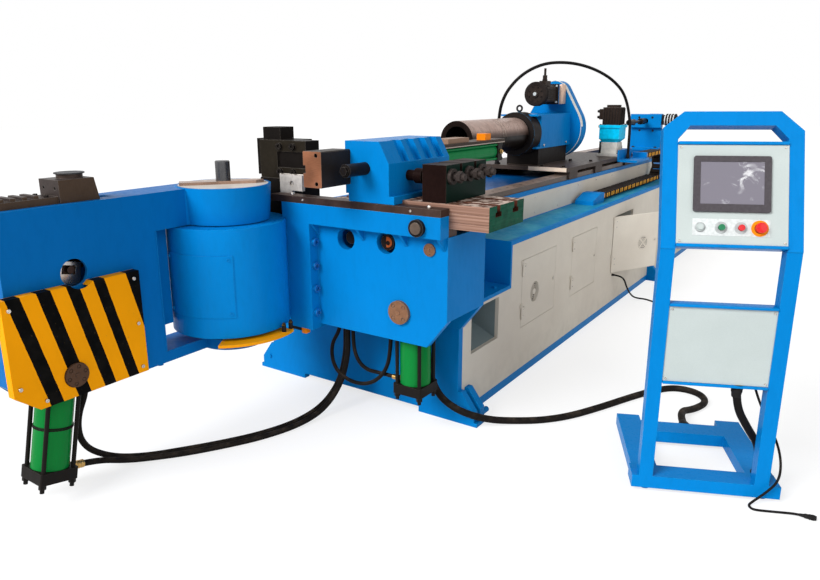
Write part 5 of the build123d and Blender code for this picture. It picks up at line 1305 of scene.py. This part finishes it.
def mandrel_valve():
    """Valve on the mandrel stand's side: dark body and a finned coil with pale rings."""
    valve = Piece().bar((172.5, 5436, 1326), (202, 5512, 1434), 4)
    x, y, z = VALVE
    fins = [(0, 0)]
    for start in range(4, 4 + 4 * VALVE_PITCH, VALVE_PITCH):
        fins += [(60, start), (60, start + 12), (68, start + 14), (68, start + 26), (60, start + 28)]
        valve.lathe(at(x + start + 1, y, z), X_AXIS, [(59, 0), (63, 0), (63, 10), (59, 10), (59, 0)], 36, 1)
    valve.lathe(at(*VALVE), X_AXIS, [*fins, (52, 128), (0, 130)], 36)
    valve.finish("mandrel_valve", [servo_black, white_plastic], "machine", "servo_black")


barrel_band()
welds()
booster_fittings()
head_sensor()
mandrel_valve()

# Stage and light
FLOOR_HALF = 40
FLOOR_GLOW = 0.72
FLOOR_GREY = (0.34, 0.34, 0.34)
WORLD_LIGHT = 0.30
SUN_REACH = 8


def show(tree, plain, shown, output):
    """Lights the object by one shader, and shows another to the camera, to metal and to glass."""
    path = tree.nodes.new("ShaderNodeLightPath")
    mask = path.outputs["Is Camera Ray"]
    for ray in ("Is Glossy Ray", "Is Transmission Ray"):
        either = tree.nodes.new("ShaderNodeMath")
        either.operation = "MAXIMUM"
        tree.links.new(mask, either.inputs[0])
        tree.links.new(path.outputs[ray], either.inputs[1])
        mask = either.outputs[0]
    choice = tree.nodes.new("ShaderNodeMixShader")
    for source, socket in zip((mask, plain.outputs[0], shown.outputs[0]), choice.inputs):
        tree.links.new(source, socket)
    tree.links.new(choice.outputs[0], tree.nodes[output].inputs["Surface"])


def pale_floor():
    """Floor that the camera, metal and glass see as white, with the object's shadow kept."""
    s = Shader("floor", 0.9)
    s.put((0.8, 0.8, 0.8), s.bsdf.inputs["Base Color"])
    glow = s.node("ShaderNodeEmission", {"Strength": FLOOR_GLOW})
    pale = s.node("ShaderNodeBsdfDiffuse", {"Color": FLOOR_GREY})
    both = s.node("ShaderNodeAddShader", {0: glow.outputs[0], 1: pale.outputs[0]})
    show(s.tree, s.bsdf, both, "Material Output")
    sheet = Piece()
    bmesh.ops.create_grid(sheet.bm, x_segments=1, y_segments=1, size=FLOOR_HALF)
    sheet.made("floor", [s.material], smooth=False)


def studio():
    """White surround that lights the object at a plain level."""
    world = bpy.data.worlds.new("studio")
    bpy.context.scene.world = world
    world.use_nodes = True
    light = world.node_tree.nodes["Background"]
    white = world.node_tree.nodes.new("ShaderNodeBackground")
    for background, strength in ((light, WORLD_LIGHT), (white, 1.0)):
        background.inputs["Color"].default_value = (1, 1, 1, 1)
        background.inputs["Strength"].default_value = strength
    show(world.node_tree, light, white, "World Output")


def sun(name, towards, strength, spread):
    """Soft parallel light; towards points from the object to the light."""
    light = bpy.data.lights.new(name, "SUN")
    light.energy = strength
    light.angle = math.radians(spread)
    holder = new_object(name, light)
    holder.location = Vector(towards) * SUN_REACH
    holder.rotation_euler = (-Vector(towards)).to_track_quat("-Z", "Y").to_euler()


pale_floor()
studio()
sun("key", (-0.25, -0.80, 0.55), 3.4, 30)
sun("fill", (0.80, -0.35, 0.50), 0.95, 50)
